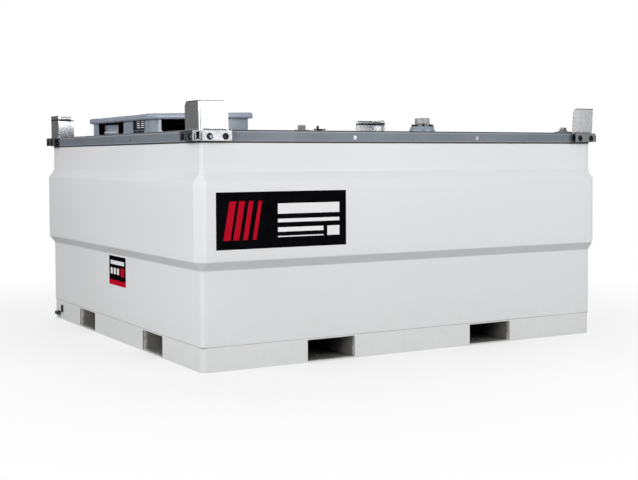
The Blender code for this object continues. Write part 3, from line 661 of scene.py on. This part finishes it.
def loft(bm, rings, closed=False, caps=True, finish=0):
    """Skin a list of equal rings of (x, y, z) points."""
    rows = [[bm.verts.new(point) for point in ring] for ring in rings]
    pairs = list(zip(rows, rows[1:]))
    if closed:
        pairs.append((rows[-1], rows[0]))
    for lower, upper in pairs:
        for index in range(len(lower)):
            after = (index + 1) % len(lower)
            face = bm.faces.new((lower[index], lower[after], upper[after], upper[index]))
            face.material_index = finish
    if caps and not closed:
        bm.faces.new(rows[0][::-1])
        bm.faces.new(rows[-1])


def prism(bm, outline, bottom, top):
    """Skin an upright prism."""
    loft(bm, (level_ring(outline, bottom), level_ring(outline, top)))


def facing(place, direction, roll=0.0):
    """A frame at a place whose Z points along a direction."""
    turn = Vector((0, 0, 1)).rotation_difference(Vector(direction)).to_matrix().to_4x4()
    return Matrix.Translation(place) @ turn @ Matrix.Rotation(roll, 4, "Z")


def turned(bm, frame_here, profile, sides=40):
    """Turn a (radius, height) profile in a frame."""
    loft(bm, [[frame_here @ point for point in circle(radius, height, sides)] for radius, height in profile])


def hex_bolt(bm, place, direction, radius, height, roll=0.0, washer=True):
    """A hexagon head with a chamfered top, on its washer."""
    here = facing(place, direction, roll)
    base = 0.0
    if washer:
        base = height * 0.25
        rim = radius * 1.45
        turned(bm, here, ((rim, 0.0), (rim, base * 0.8), (radius * 1.38, base)), ROUND_SIDES)
    turned(bm, here, ((radius, base), (radius, height * 0.85), (radius * 0.86, height)), 6)


def fold_profile(points, radius):
    """Round the inner corners of a (height, out) polyline."""
    rounded = [Vector(points[0])]
    for before, here, after in zip(points, points[1:], points[2:]):
        here = Vector(here)
        back, ahead = directions(before, here, after)
        reach = radius / math.tan(back.angle(ahead) / 2)
        start = here + back * reach
        end = here + ahead * reach
        for step in range(BEND_STEPS + 1):
            share = step / BEND_STEPS
            rounded.append(start.lerp(here, share).lerp(here.lerp(end, share), share))
    rounded.append(Vector(points[-1]))
    return rounded


def spaced(profile, spacing):
    """Add points along the long stretches of a profile."""
    dense = [profile[0]]
    for start, end in zip(profile, profile[1:]):
        count = max(1, math.ceil((end - start).length / spacing))
        dense += [start.lerp(end, step / count) for step in range(1, count + 1)]
    return dense


def calm(along, height, film):
    """Fade the sheet's ripple out where a film lies on it."""
    away = 0.0
    for value, (start, end) in ((along, film[0]), (height, film[1])):
        away = max(away, start - value, value - end)
    return min(1.0, away / FILM_FADE)


def ripple(side, along, height):
    """How far the thin sheet stands off its true plane, for side 0 front, 1 right, 2 back, 3 left."""
    half = HALF_X if side % 2 == 0 else HALF_Y
    edge = max(0.0, min(1.0, (half - abs(along)) / RIPPLE_FADE))
    across = along * RIPPLE_WAVES[0] + side * RIPPLE_SHIFTS[0]
    wave = noise.noise(Vector((across, height * RIPPLE_WAVES[1], side * RIPPLE_SHIFTS[1] + RIPPLE_SHIFTS[2])))
    if side == 0:
        edge *= calm(along, height, FRONT_FILM)
    if side == 3:
        edge *= calm(along, height, SIDE_FILM)
    return RIPPLE * wave * edge


def shell_ring(height, out, inner=False):
    """One ring of the shell at a height, with corners that turn from round to flat with its reach."""
    share = max(0.0, out) / BELLY_OUT
    back = SHEET if inner else max(0.0, -out)
    reach = out - SHEET if inner else out
    cut_here = WALL_CUT + (BELLY_CUT - WALL_CUT) * share - back * (2 - math.sqrt(2))
    bend = max(WALL_RADIUS + (BELLY_BEND - WALL_RADIUS) * share - back, 0.002)
    corners = cut_rectangle(HALF_X + reach, HALF_Y + reach, cut_here)
    outline = rounded_outline(corners, [bend] * 8, BEND_STEPS, (1, SIDE_PIECES))
    per_side = 2 * (BEND_STEPS + 1) + SIDE_PIECES - 1
    ring = []
    for index, point in enumerate(outline):
        side, step = divmod(index, per_side)
        if step > 2 * BEND_STEPS + 1 and not inner:
            along = point.x if side % 2 == 0 else point.y
            normal = (Vector((0, -1)), Vector((1, 0)), Vector((0, 1)), Vector((-1, 0)))[side]
            point = point + normal * ripple(side, along, height)
        ring.append((point.x, point.y, height))
    return ring


def build_shell():
    """The whole steel shell in one skin: rounded folds above and below the belly band."""
    folds = ((SHELL_BOTTOM + SHELL_LIP, 0.0), (BELLY_LOW[0], 0.0), (BELLY_LOW[1], BELLY_OUT),
             (BELLY_HIGH[0], BELLY_OUT), (BELLY_HIGH[1], 0.0), (SHELL_TOP - SHELL_LIP, 0.0))
    outer = spaced(fold_profile(folds, FOLD_RADIUS), RING_SPACING)
    rings = [shell_ring(SHELL_BOTTOM, -SHELL_LIP)]
    rings += [shell_ring(height, out) for height, out in outer]
    rings.append(shell_ring(SHELL_TOP, -SHELL_LIP))
    inner = [shell_ring(height, out, inner=True) for height, out in reversed(folds)]
    bm = bmesh.new()
    loft(bm, rings + inner, closed=True)
    smooth_piece("shell_skin", bm, "shell", "tank", "white_paint",
                 "front_wall", "right_wall", "back_wall", "left_wall", angle=40)


def lane_box(name, *sides):
    """A cutter for one fork tunnel."""
    bm = bmesh.new()
    prism(bm, oblong(*sides), *LANE_LEVELS)
    return add_piece(name, bm)


def drain_cutter(name, x, y):
    """A cutter for one drain hole through the bottom plate."""
    bm = bmesh.new()
    profile = [(DRAIN_RADIUS, level) for level in DRAIN_LEVELS]
    turned(bm, Matrix.Translation((x, y, 0.0)), profile, ROUND_SIDES)
    return add_piece(name, bm)


def build_skid():
    """The fork skid in one piece, with its tunnels and the drain holes inside their mouths cut through."""
    bm = bmesh.new()
    prism(bm, rounded_outline(rectangle(HALF_X, HALF_Y), [SKID_RADIUS] * 4), 0.0, SKID_TOP)
    skid = add_piece("skid_body", bm, "skid")
    half = LANE_WIDTH / 2
    far = HALF_X * 2
    cutters = [lane_box("lane_x", x - half, x + half, -far, far) for x in FRONT_LANES]
    cutters += [lane_box("lane_y", -far, far, y - half, y + half) for y in SIDE_LANES]
    drains = [(x, side * (HALF_Y - DRAIN_SET_BACK)) for x in FRONT_LANES for side in (-1, 1)]
    drains += [(side * (HALF_X - DRAIN_SET_BACK), y) for y in SIDE_LANES for side in (-1, 1)]
    cut(skid, *cutters, *[drain_cutter("drain", x, y) for x, y in drains])
    round_edges(skid, 0.0022)
    blocks = ["skid_block_%s_%s" % (row, column)
              for row in ("front", "middle", "back") for column in ("left", "middle", "right")]
    fit(skid, "tank", "white_paint", "skid_bottom_plate", "tank_floor", *blocks)


def build_mouth_frames():
    """The sheet edge of each fork tunnel where it meets the skid's face."""
    bm = bmesh.new()
    low, high = LANE_LEVELS
    section = ((0.0, -MOUTH_SUNK), (0.0, MOUTH_PROUD), (MOUTH_FRAME, MOUTH_PROUD), (MOUTH_FRAME, -MOUTH_SUNK))
    for lanes, face, turn in ((FRONT_LANES, HALF_Y, 0), (SIDE_LANES, HALF_X, 1)):
        for middle in lanes:
            for side in (-1, 1):
                rings = []
                for spread, proud in section:
                    reach = LANE_WIDTH / 2 + spread
                    bottom = max(low - spread, MOUTH_MARGIN)
                    top = min(high + spread, SKID_TOP - MOUTH_MARGIN)
                    mouth = oblong(-reach, reach, bottom, top)
                    ring = [(middle + along, side * (face + proud), height) for along, height in mouth]
                    rings.append([(y, x, z) for x, y, z in ring] if turn else ring)
                loft(bm, rings, closed=True)
    bevelled_piece("tunnel_mouth_frames", bm, "skid", 0.0005, "tank", "white_paint", steps=1)


def copy_nodes(name, body, slot, finish, width, *nodes):
    """One piece in the shape of some CAD nodes, with rounded edges and a smooth finish."""
    bm = bmesh.new()
    for node in nodes:
        bm.from_mesh(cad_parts[node].data)
    bmesh.ops.remove_doubles(bm, verts=bm.verts, dist=MERGE)
    bmesh.ops.dissolve_limit(bm, angle_limit=math.radians(FLAT_ANGLE), verts=bm.verts, edges=bm.edges)
    for face in bm.faces:
        face.material_index = 0
    bevelled_piece(name, bm, finish, width, body, slot, *nodes)


def build_seam():
    """A black ring in the joint between the shell and the skid, a painted shadow in the gap."""
    bm = bmesh.new()
    middle = (SKID_TOP + SHELL_BOTTOM) / 2
    rings = []
    for out, rise in SEAM_SECTION:
        outline = rounded_outline(rectangle(HALF_X + out, HALF_Y + out), [WALL_RADIUS + out] * 4)
        rings.append(level_ring(outline, middle + rise))
    loft(bm, rings, closed=True)
    # A black ring as painted shadow in the joint.
    smooth_piece("skid_seam_painted_shadow", bm, "rubber", "tank", "black_rubber")


def build_rim():
    """The rim angles, the roof plates and the seal, with the rim's bolts."""
    sides = ("front", "right", "back", "left")
    copy_nodes("roof_rim", "tank", "grey_paint", "rim", 0.0009, *[side + "_rim" for side in sides])
    decks = ["roof_deck_" + part for part in ("main", "front", "back", "left")]
    copy_nodes("roof_plates", "tank", "grey_paint", "deck", 0.0006, *decks)
    copy_nodes("roof_seal", "tank", "black_rubber", "rubber", 0.0004, "roof_gasket")
    bm = bmesh.new()
    for side in (-1, 1):
        for number, along in enumerate(FRONT_RIM_BOLTS):
            place = (along, side * (HALF_Y + RIM_OUT - BOLT_SUNK), RIM_BOLT_Z)
            hex_bolt(bm, place, (0, side, 0), *RIM_BOLT_SIZE, 0.3 + number)
        for number, along in enumerate(SIDE_RIM_BOLTS):
            place = (side * (HALF_X + RIM_OUT - BOLT_SUNK), along, RIM_BOLT_Z)
            hex_bolt(bm, place, (side, 0, 0), *RIM_BOLT_SIZE, 0.7 + number)
    bevelled_piece("rim_bolts", bm, "bolt", BOLT_EDGE, "tank", "galvanised_steel", steps=1)


def offset_ring(corners, radii, out, height, smallest):
    """One level ring of a rounded outline, moved outwards."""
    rounds = [max(radius + out, smallest) for radius in radii]
    return level_ring(rounded_outline(offset_corners(corners, out), rounds, LID_STEPS), height)


def build_lid():
    """The lid as a pressed pan with a recessed underside, a rolled edge and a low crown."""
    profile = [(inset, LID_BOTTOM + rise) for inset, rise in LID_UNDERSIDE]
    turns = [math.pi / 2 * step / LID_ROLL_STEPS for step in range(LID_ROLL_STEPS + 1)]
    for angle in turns:
        rise = LID_UNDER_ROLL * (1 - math.cos(angle))
        profile.append((LID_UNDER_ROLL * (1 - math.sin(angle)), LID_BOTTOM + rise))
    for angle in turns:
        profile.append((LID_ROLL * (1 - math.cos(angle)), LID_TOP - LID_ROLL * (1 - math.sin(angle))))
    profile += [(inset, LID_TOP + rise) for inset, rise in LID_CROWN]
    bm = bmesh.new()
    rings = []
    for inset, height in profile:
        rings.append(offset_ring(LID_CORNERS, LID_RADII, -inset, height, LID_LEAST_RADIUS))
    loft(bm, rings)
    smooth_piece("lid_pan", bm, "lid", "lid", "grey_paint", "cabinet_lid", angle=50)
    build_knuckles()
    build_lid_ribs()


def build_knuckles():
    """The lid's half of its two hinges."""
    bm = bmesh.new()
    edge = LID_CORNERS[1][0] - KNUCKLE_LAP
    for middle in HINGE_ENDS:
        start = middle - KNUCKLE / 2
        end = middle + KNUCKLE / 2
        barrel = ((HINGE_RADIUS, 0.0), (HINGE_RADIUS, KNUCKLE))
        turned(bm, facing((HINGE_X, start, HINGE_Z), (0, 1, 0)), barrel, ROUND_SIDES)
        prism(bm, oblong(edge, HINGE_X, start, end), HINGE_Z - HINGE_RADIUS / 2, HINGE_Z + HINGE_RADIUS / 2)
    bevelled_piece("lid_knuckles", bm, "zinc", 0.0006, "lid", "galvanised_steel")


def build_lid_ribs():
    """Two hat-section ribs across the underside of the lid."""
    bm = bmesh.new()
    for middle in RIB_PLACES:
        rings = []
        for x in (LID_CORNERS[0][0] + RIB_INSET, LID_CORNERS[1][0] - RIB_INSET):
            rings.append([(x, middle + across, RIB_TOP + drop) for across, drop in RIB_SECTION])
        loft(bm, rings)
    bevelled_piece("lid_ribs", bm, "lid", 0.0005, "lid", "grey_paint")


def notch_cutter(name, index, start, end):
    """A round-bottomed cutter through one cabinet side, by distances along that side."""
    corner = Vector(CABINET_CORNERS[index])
    along = (Vector(CABINET_CORNERS[(index + 1) % 4]) - corner).normalized()
    normal = Vector((along.y, -along.x))
    top = CABINET_TOP + NOTCH_PAST
    shape = [(start, top)]
    for centre, first in ((start + NOTCH_ROUND, math.pi), (end - NOTCH_ROUND, 1.5 * math.pi)):
        for step in range(NOTCH_STEPS + 1):
            angle = first + math.pi / 2 * step / NOTCH_STEPS
            shape.append((centre + NOTCH_ROUND * math.cos(angle),
                          NOTCH_BOTTOM + NOTCH_ROUND + NOTCH_ROUND * math.sin(angle)))
    shape.append((end, top))
    rings = []
    for depth in (CABINET_SHEET, -CABINET_SHEET * 2):
        rings.append([(*(corner + along * distance + normal * depth), height) for distance, height in shape])
    bm = bmesh.new()
    loft(bm, rings)
    return add_piece(name, bm)


def cabinet_rings(out, *heights):
    """Rings of the cabinet wall at an offset from its outer face."""
    rings = []
    for height in heights:
        rings.append(offset_ring(CABINET_CORNERS, CABINET_RADII, out, height, CABINET_LEAST_RADIUS))
    return rings


def build_cabinet():
    """The cabinet's one-piece wall with its openings, near-black inside as painted shade, on the well's
    floor.
    """
    bm = bmesh.new()
    outer = cabinet_rings(0.0, CABINET_FLOOR, ROOF_TOP, CABINET_TOP)
    inner = cabinet_rings(-CABINET_SHEET, CABINET_TOP, ROOF_TOP, CABINET_FLOOR)
    loft(bm, outer, caps=False)
    loft(bm, inner, caps=False, finish=1)
    loft(bm, (outer[-1], inner[0]), caps=False)
    loft(bm, (inner[-1], outer[0]), caps=False)
    bmesh.ops.remove_doubles(bm, verts=bm.verts, dist=MERGE)
    wall = add_piece("cabinet_wall", bm, "cabinet", "inside")
    far_end = CABINET_CORNERS[3][1]
    cut(wall, notch_cutter("notch_front", 0, *SLANT_OPENING),
        notch_cutter("notch_side", 3, far_end - SIDE_OPENING[1], far_end - SIDE_OPENING[0]),
        notch_cutter("notch_vent", 3, far_end - VENT_OPENING[1], far_end - VENT_OPENING[0]))
    round_edges(wall, 0.0012)
    fit(wall, "tank", "grey_paint", "cabinet_wall_front", "cabinet_wall_hinge_side",
        "cabinet_wall_back", "cabinet_wall_left")
    # The well's floor, near-black as painted shade.
    copy_nodes("cabinet_well", "tank", "grey_paint", "inside", 0.0006, "cabinet_floor")
    copy_nodes("cabinet_hinges", "tank", "galvanised_steel", "zinc", 0.0006,
               "cabinet_hinge_1", "cabinet_hinge_2")
    build_vent()
    build_port_cover()


def build_vent():
    """The black vent plate with two columns of pale slats over a narrow strip."""
    copy_nodes("vent_plate", "tank", "black_rubber", "plastic", 0.0005, "cabinet_vent_plate")
    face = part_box("cabinet_vent_plate")[0].x
    outline = rounded_outline(rectangle(*SLAT_HALF), [SLAT_ROUND] * 4, 4)
    bm = bmesh.new()
    for middle in VENT_COLUMNS:
        for row in range(VENT_ROWS):
            height = VENT_TOP_ROW - row * VENT_ROW_PITCH
            rings = []
            for depth, share in SLAT_PROFILE:
                rings.append([(face - depth, middle + x * share, height + y * share) for x, y in outline])
            loft(bm, rings)
    smooth_piece("vent_slats", bm, "slat", "tank", "white_paint")
    bm = bmesh.new()
    loft(bm, [[(face - depth, y, z) for y, z in oblong(*VENT_STRIP)] for depth in (0.0, VENT_STRIP_DEPTH)])
    bevelled_piece("vent_strip", bm, "cabinet", 0.0004, "tank", "grey_paint")


def build_port_cover():
    """The bowed cover in the side opening, with its three screws and its foot flange in white as a painted
    highlight.
    """
    copy_nodes("port_cover", "tank", "grey_paint", "cabinet", 0.0015, "cabinet_port_cover")
    low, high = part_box("cabinet_port_cover")
    bm = bmesh.new()
    for height in PORT_SCREWS:
        place = (low.x + PORT_SCREW_SUNK, PORT_SCREW_Y, height)
        hex_bolt(bm, place, (-1, 0, 0), *PORT_SCREW_SIZE, 0.4, washer=False)
    bevelled_piece("port_screws", bm, "bolt", 0.0004, "tank", "galvanised_steel", steps=1)
    # The foot flange, white as a painted highlight.
    bm = bmesh.new()
    rings = []
    for step in range(PORT_FLANGE_STEPS + 1):
        share = step / PORT_FLANGE_STEPS * 2 - 1
        y = (low.y + high.y) / 2 + share * (high.y - low.y) / 2
        x = low.x + (high.x - low.x - CABINET_SHEET) * share * share
        rings.append([(x + out, y, z) for out, z in oblong(*PORT_FLANGE)])
    loft(bm, rings)
    smooth_piece("port_flange_painted_highlight", bm, "slat", "tank", "grey_paint")


def corner_point(side_x, side_y, on_front, along, out, height):
    """A point on a bracket's front or side face, by its distance from the shell corner."""
    if on_front:
        return Vector((side_x * (HALF_X - along), side_y * (HALF_Y + out), height))
    return Vector((side_x * (HALF_X + out), side_y * (HALF_Y - along), height))


def weld_bead(bm, start, end):
    """A rippled weld bead along a line."""
    length = (end - start).length
    rings = []
    count = int(length / WELD_PITCH)
    here = facing(start, end - start)
    swell, pace = WELD_WAVE
    for step in range(count + 1):
        tip = WELD_TIP if step in (0, count) else 1.0
        size = WELD_RADIUS * (1.0 + swell * math.sin(step * pace)) * tip
        rings.append([here @ point for point in circle(size, length * (step / count), WELD_SIDES)])
    loft(bm, rings)


def round_bar(bm, start, end):
    """A round bar with eased ends between two points."""
    length = (end - start).length
    radius = TOP_BAR_RADIUS
    ease = radius * 0.25
    profile = ((radius - ease, 0.0), (radius, ease), (radius, length - ease), (radius - ease, length))
    turned(bm, facing(start, end - start), profile, 32)


def leaning(side_y, height):
    """How far an upright at the front or the back leans outwards at a height."""
    front_lean, back_lean = UPRIGHT_LEANS
    lean = front_lean if side_y < 0 else back_lean
    return lean * (height - BRACKET_BOTTOM) / (BRACKET_TOP - BRACKET_BOTTOM)


def dress_upright(welds, bars, place, side_y, length):
    """The weld bead at an upright's foot and the round bar at its top."""
    height = SKIRT_TOP + WELD_RISE
    lean = leaning(side_y, height)
    ends = (WELD_ENDS[0], length - WELD_ENDS[1])
    weld_bead(welds, *[place(along - lean, RIM_OUT + WELD_OUT + lean, height) for along in ends])
    lean = leaning(side_y, TOP_BAR_Z)
    out = UPRIGHT_BACK - TOP_BAR_INSET + lean
    ends = (TOP_BAR_START, length - UPRIGHT_CUT)
    round_bar(bars, *[place(along - lean, out, TOP_BAR_Z) for along in ends])


def fill_pin_holes(bolts, shadow_sheets, place, outward):
    """The black sheet behind a skirt's pin holes as painted shadow, and the bolt end in the far one."""
    far = place(PIN_HOLES[1] + FAR_PIN_SHIFT[0], RIM_OUT, PIN_HOLE_Z + FAR_PIN_SHIFT[1])
    hex_bolt(bolts, far, outward, *FAR_PIN_BOLT, 0.2, washer=False)
    # A black sheet behind the holes, a painted shadow.
    shadow_outline = oblong(*PIN_SHADOW_SPAN, PIN_HOLE_Z - PIN_SHADOW_HALF_HEIGHT, PIN_HOLE_Z + PIN_SHADOW_HALF_HEIGHT)
    loft(shadow_sheets, [[place(along, out, level) for along, level in shadow_outline] for out in PIN_SHADOW_OUT])


def build_brackets():
    """The galvanised corner brackets, with their weld beads, and the bolt ends and painted-shadow black
    sheets that show through their pin holes.
    """
    welds, bolts, bars, shadow_sheets = [bmesh.new() for part in range(4)]
    for name, side_x, side_y in CORNERS:
        copy_nodes("zinc_" + name, "tank", "galvanised_steel", "zinc", 0.0008, "bracket_" + name)
        for on_front, length, shift in zip((True, False), UPRIGHT_LENGTHS, NEAR_PIN_SHIFTS):
            place = partial(corner_point, side_x, side_y, on_front)
            outward = (0, side_y, 0) if on_front else (side_x, 0, 0)
            dress_upright(welds, bars, place, side_y, length)
            fill_pin_holes(bolts, shadow_sheets, place, outward)
            if side_x * side_y > 0:
                near = place(PIN_HOLES[0] + shift, RIM_OUT, PIN_HOLE_Z)
                hex_bolt(bolts, near, outward, *NEAR_PIN_BOLT, 0.5)
    smooth_piece("bracket_top_bars", bars, "zinc", "tank", "galvanised_steel", angle=40)
    smooth_piece("bracket_welds", welds, "weld", "tank", "galvanised_steel", angle=60)
    bevelled_piece("bracket_bolts", bolts, "weld", BOLT_EDGE, "tank", "galvanised_steel", steps=1)
    # Black sheets behind the pin holes, painted shadow.
    smooth_piece("bracket_hole_shadow_sheets", shadow_sheets, "plastic", "tank", "black_rubber")


def node_frame(node):
    """The foot centre, radius and height of a round CAD node that stands upright."""
    low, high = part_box(node)
    foot = Vector(((low.x + high.x) / 2, (low.y + high.y) / 2, low.z))
    return foot, (high.x - low.x) / 2, high.z - low.z


def round_piece(name, node, slot, finish, profile, sides=64, angle=EDGE_ANGLE):
    """Replace a round CAD node by a smoother turned piece, by shares of its radius and height."""
    foot, radius, height = node_frame(node)
    bm = bmesh.new()
    turned(bm, Matrix.Translation(foot), [(r * radius, h * height) for r, h in profile], sides)
    smooth_piece(name, bm, finish, "tank", slot, node, angle=angle)


def build_roof_fittings():
    """Vent, dip point, corner plug and lever valve on the roof."""
    boss = ((1.0, 0.0), (1.0, 0.42), (0.992, 0.56), (0.966, 0.72), (0.920, 0.87), (0.860, 0.96), (0.79, 1.0))
    round_piece("vent_boss", "roof_vent_boss", "grey_paint", "cabinet", boss)
    cap = ((0.70, 0.0), (0.70, 0.28), (0.97, 0.30), (1.0, 0.34), (1.0, 0.90), (0.97, 0.97), (0.90, 1.0),
           (0.20, 1.01))
    round_piece("vent_cap", "roof_vent_cap", "galvanised_steel", "cap", cap)
    dome = ((1.0, 0.0), (0.97, 0.10), (0.80, 0.66), (0.62, 0.90), (0.47, 1.0))
    round_piece("dip_boss", "dip_point_boss", "grey_paint", "deck", dome)
    plug = ((1.0, 0.0), (1.0, 0.86), (0.94, 0.95), (0.86, 1.0))
    round_piece("dip_plug", "dip_point_plug", "galvanised_steel", "plug", plug, 8, 20)
    cone = ((1.0, 0.0), (1.0, 0.20), (0.97, 0.26), (0.60, 0.42), (0.47, 0.56), (0.42, 0.80), (0.40, 1.0))
    round_piece("corner_boss", "corner_plug_boss", "grey_paint", "deck", cone)
    round_piece("corner_plug_head", "corner_plug", "galvanised_steel", "plug", plug, 6, 20)
    copy_nodes("lever_valve_body", "tank", "black_rubber", "plastic", 0.0008, "lever_valve")
    foot, radius, height = node_frame("roof_vent_boss")
    bm = bmesh.new()
    for number, spot in enumerate(circle(radius * VENT_BOLT_REACH, height, VENT_BOLTS, VENT_BOLT_TURN)):
        hex_bolt(bm, foot + spot, (0, 0, 1), *VENT_BOLT_SIZE, number * 0.7, washer=False)
    bevelled_piece("vent_bolts", bm, "plastic", BOLT_EDGE, "tank", "black_rubber", steps=1)


def build_skid_fittings():
    """The earthing lug with its screw, and the chain link with the eye that holds it."""
    copy_nodes("earthing_lug", "tank", "black_rubber", "green", 0.0012, "earth_lug")
    copy_nodes("skid_link", "tank", "black_rubber", "rubber", 0.0016, "chain_link")
    low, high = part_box("earth_lug")
    bm = bmesh.new()
    place = ((low.x + high.x) / 2, (low.y + high.y) / 2, high.z - BOLT_SUNK)
    hex_bolt(bm, place, (0, 0, 1), *EARTH_SCREW_SIZE)
    bevelled_piece("earthing_screw", bm, "bolt", BOLT_EDGE, "tank", "galvanised_steel", steps=1)


def build_film(name, span, edge, red_name, reds, whites, place):
    """One film: a pale edge and a black field with bars; place turns (along, up, out) into a point."""
    width, height = (end - start for start, end in span)
    layers = (("edge", "film_white", ((-edge, width + edge, -edge, height + edge),)),
              ("field", "film_black", ((0.0, width, 0.0, height),)),
              (red_name, "film_red", reds),
              ("bars", "film_white", whites))
    for (part, finish, bars), lift in zip(layers, FILM_LIFTS):
        bm = bmesh.new()
        for shape in bars:
            loft(bm, [[place(s, t, out) for s, t in oblong(*shape)] for out in (lift - FILM_THICKNESS, lift)])
        piece = add_piece("%s_film_%s" % (name, part), bm, finish)
        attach(piece, "tank")


def build_films():
    """Plain striped films where the photograph shows two printed panels."""
    stripes = []
    for number, width in enumerate(STRIPE_WIDTHS):
        start = STRIPE_START + number * STRIPE_PITCH
        stripes.append((start, start + width, *STRIPE_LEVELS, STRIPE_SLANT))

    def on_front(s, t, out):
        return (FRONT_FILM[0][0] + s, -(HALF_Y + BELLY_OUT + out), FRONT_FILM[1][0] + t)

    build_film("front", FRONT_FILM, FRONT_FILM_EDGE, "slants", stripes, FRONT_BARS, on_front)

    def on_side(s, t, out):
        return (-(HALF_X + out), SIDE_FILM[0][1] - s, SIDE_FILM[1][0] + t)

    row = [(start, start + SIDE_ROW_WIDTH, *SIDE_ROW_LEVELS) for start in SIDE_ROW_STARTS]
    build_film("side", SIDE_FILM, SIDE_FILM_EDGE, "band", SIDE_REDS, [SIDE_BAR, *row], on_side)


def add_light(name, place, target, size, power):
    """A soft rectangular studio light."""
    data = bpy.data.lights.new(name, "AREA")
    data.shape = "RECTANGLE"
    data.size, data.size_y = size
    data.energy = power
    lamp = bpy.data.objects.new(name, data)
    bpy.context.scene.collection.objects.link(lamp)
    aim = Vector(target) - Vector(place)
    lamp.matrix_world = Matrix.Translation(place) @ aim.to_track_quat("-Z", "Y").to_matrix().to_4x4()
    lamp.visible_camera = False


def floor_look():
    """A pale floor that keeps soft shadows near the tank and turns white further out."""
    look = Look("floor_pale", roughness=0.9)
    seen = look.node("ShaderNodeLightPath").outputs["Is Camera Ray"]
    look.colour(look.mix(seen, (0.30, 0.30, 0.30), (0.90, 0.90, 0.90)))
    glow = look.node("ShaderNodeEmission")
    distance = look.node("ShaderNodeVectorMath", operation="LENGTH")
    look.link(look.where, distance.inputs[0])
    fade = look.span(distance.outputs["Value"], *FLOOR_FADE, FLOOR_GLOW, 1.0)
    blend = look.node("ShaderNodeMixShader")
    look.link(look.maths("MULTIPLY", fade, seen), blend.inputs[0])
    look.link(look.shader.outputs[0], blend.inputs[1])
    look.link(glow.outputs[0], blend.inputs[2])
    look.link(blend.outputs[0], look.tree.nodes["Material Output"].inputs["Surface"])
    return look


def build_floor():
    """A wide round floor."""
    bm = bmesh.new()
    bm.faces.new([bm.verts.new(point) for point in circle(FLOOR_RADIUS, 0.0, FLOOR_SIDES)])
    floor = add_piece("studio_floor", bm)
    floor.data.materials.append(floor_look().material)


def build_surround():
    """A white surround that lights the tank only faintly."""
    world = bpy.data.worlds.new("studio_world")
    bpy.context.scene.world = world
    world.use_nodes = True
    tree = world.node_tree
    background = tree.nodes["Background"]
    background.inputs["Color"].default_value = (1.0, 1.0, 1.0, 1.0)
    path = tree.nodes.new("ShaderNodeLightPath")
    strength = tree.nodes.new("ShaderNodeMapRange")
    strength.inputs["To Min"].default_value = SURROUND_LIGHT
    strength.inputs["To Max"].default_value = 1.0
    tree.links.new(path.outputs["Is Camera Ray"], strength.inputs["Value"])
    tree.links.new(strength.outputs[0], background.inputs["Strength"])


def build_camera():
    """The camera at the photograph's viewing place."""
    data = bpy.data.cameras.new("photo_camera")
    data.sensor_width = SENSOR
    data.lens = FOCAL_PIXELS * SENSOR / IMAGE_WIDTH
    data.shift_y = (HORIZON_CENTRE - IMAGE_HEIGHT / 2) / IMAGE_WIDTH
    camera = bpy.data.objects.new("photo_camera", data)
    bpy.context.scene.collection.objects.link(camera)
    turn = Matrix.Rotation(-CAMERA_YAW, 4, "Z") @ Matrix.Rotation(math.pi / 2 - CAMERA_PITCH, 4, "X")
    camera.matrix_world = Matrix.Translation(CAMERA_PLACE) @ turn @ Matrix.Rotation(CAMERA_ROLL, 4, "Z")
    bpy.context.scene.camera = camera


bpy.context.scene.view_settings.view_transform = "Standard"
build_camera()
build_shell()
build_skid()
build_mouth_frames()
build_seam()
build_rim()
build_lid()
build_cabinet()
build_brackets()
build_roof_fittings()
build_skid_fittings()
build_films()
build_floor()
build_surround()
for light, settings in LIGHTS.items():
    add_light(light, *settings)
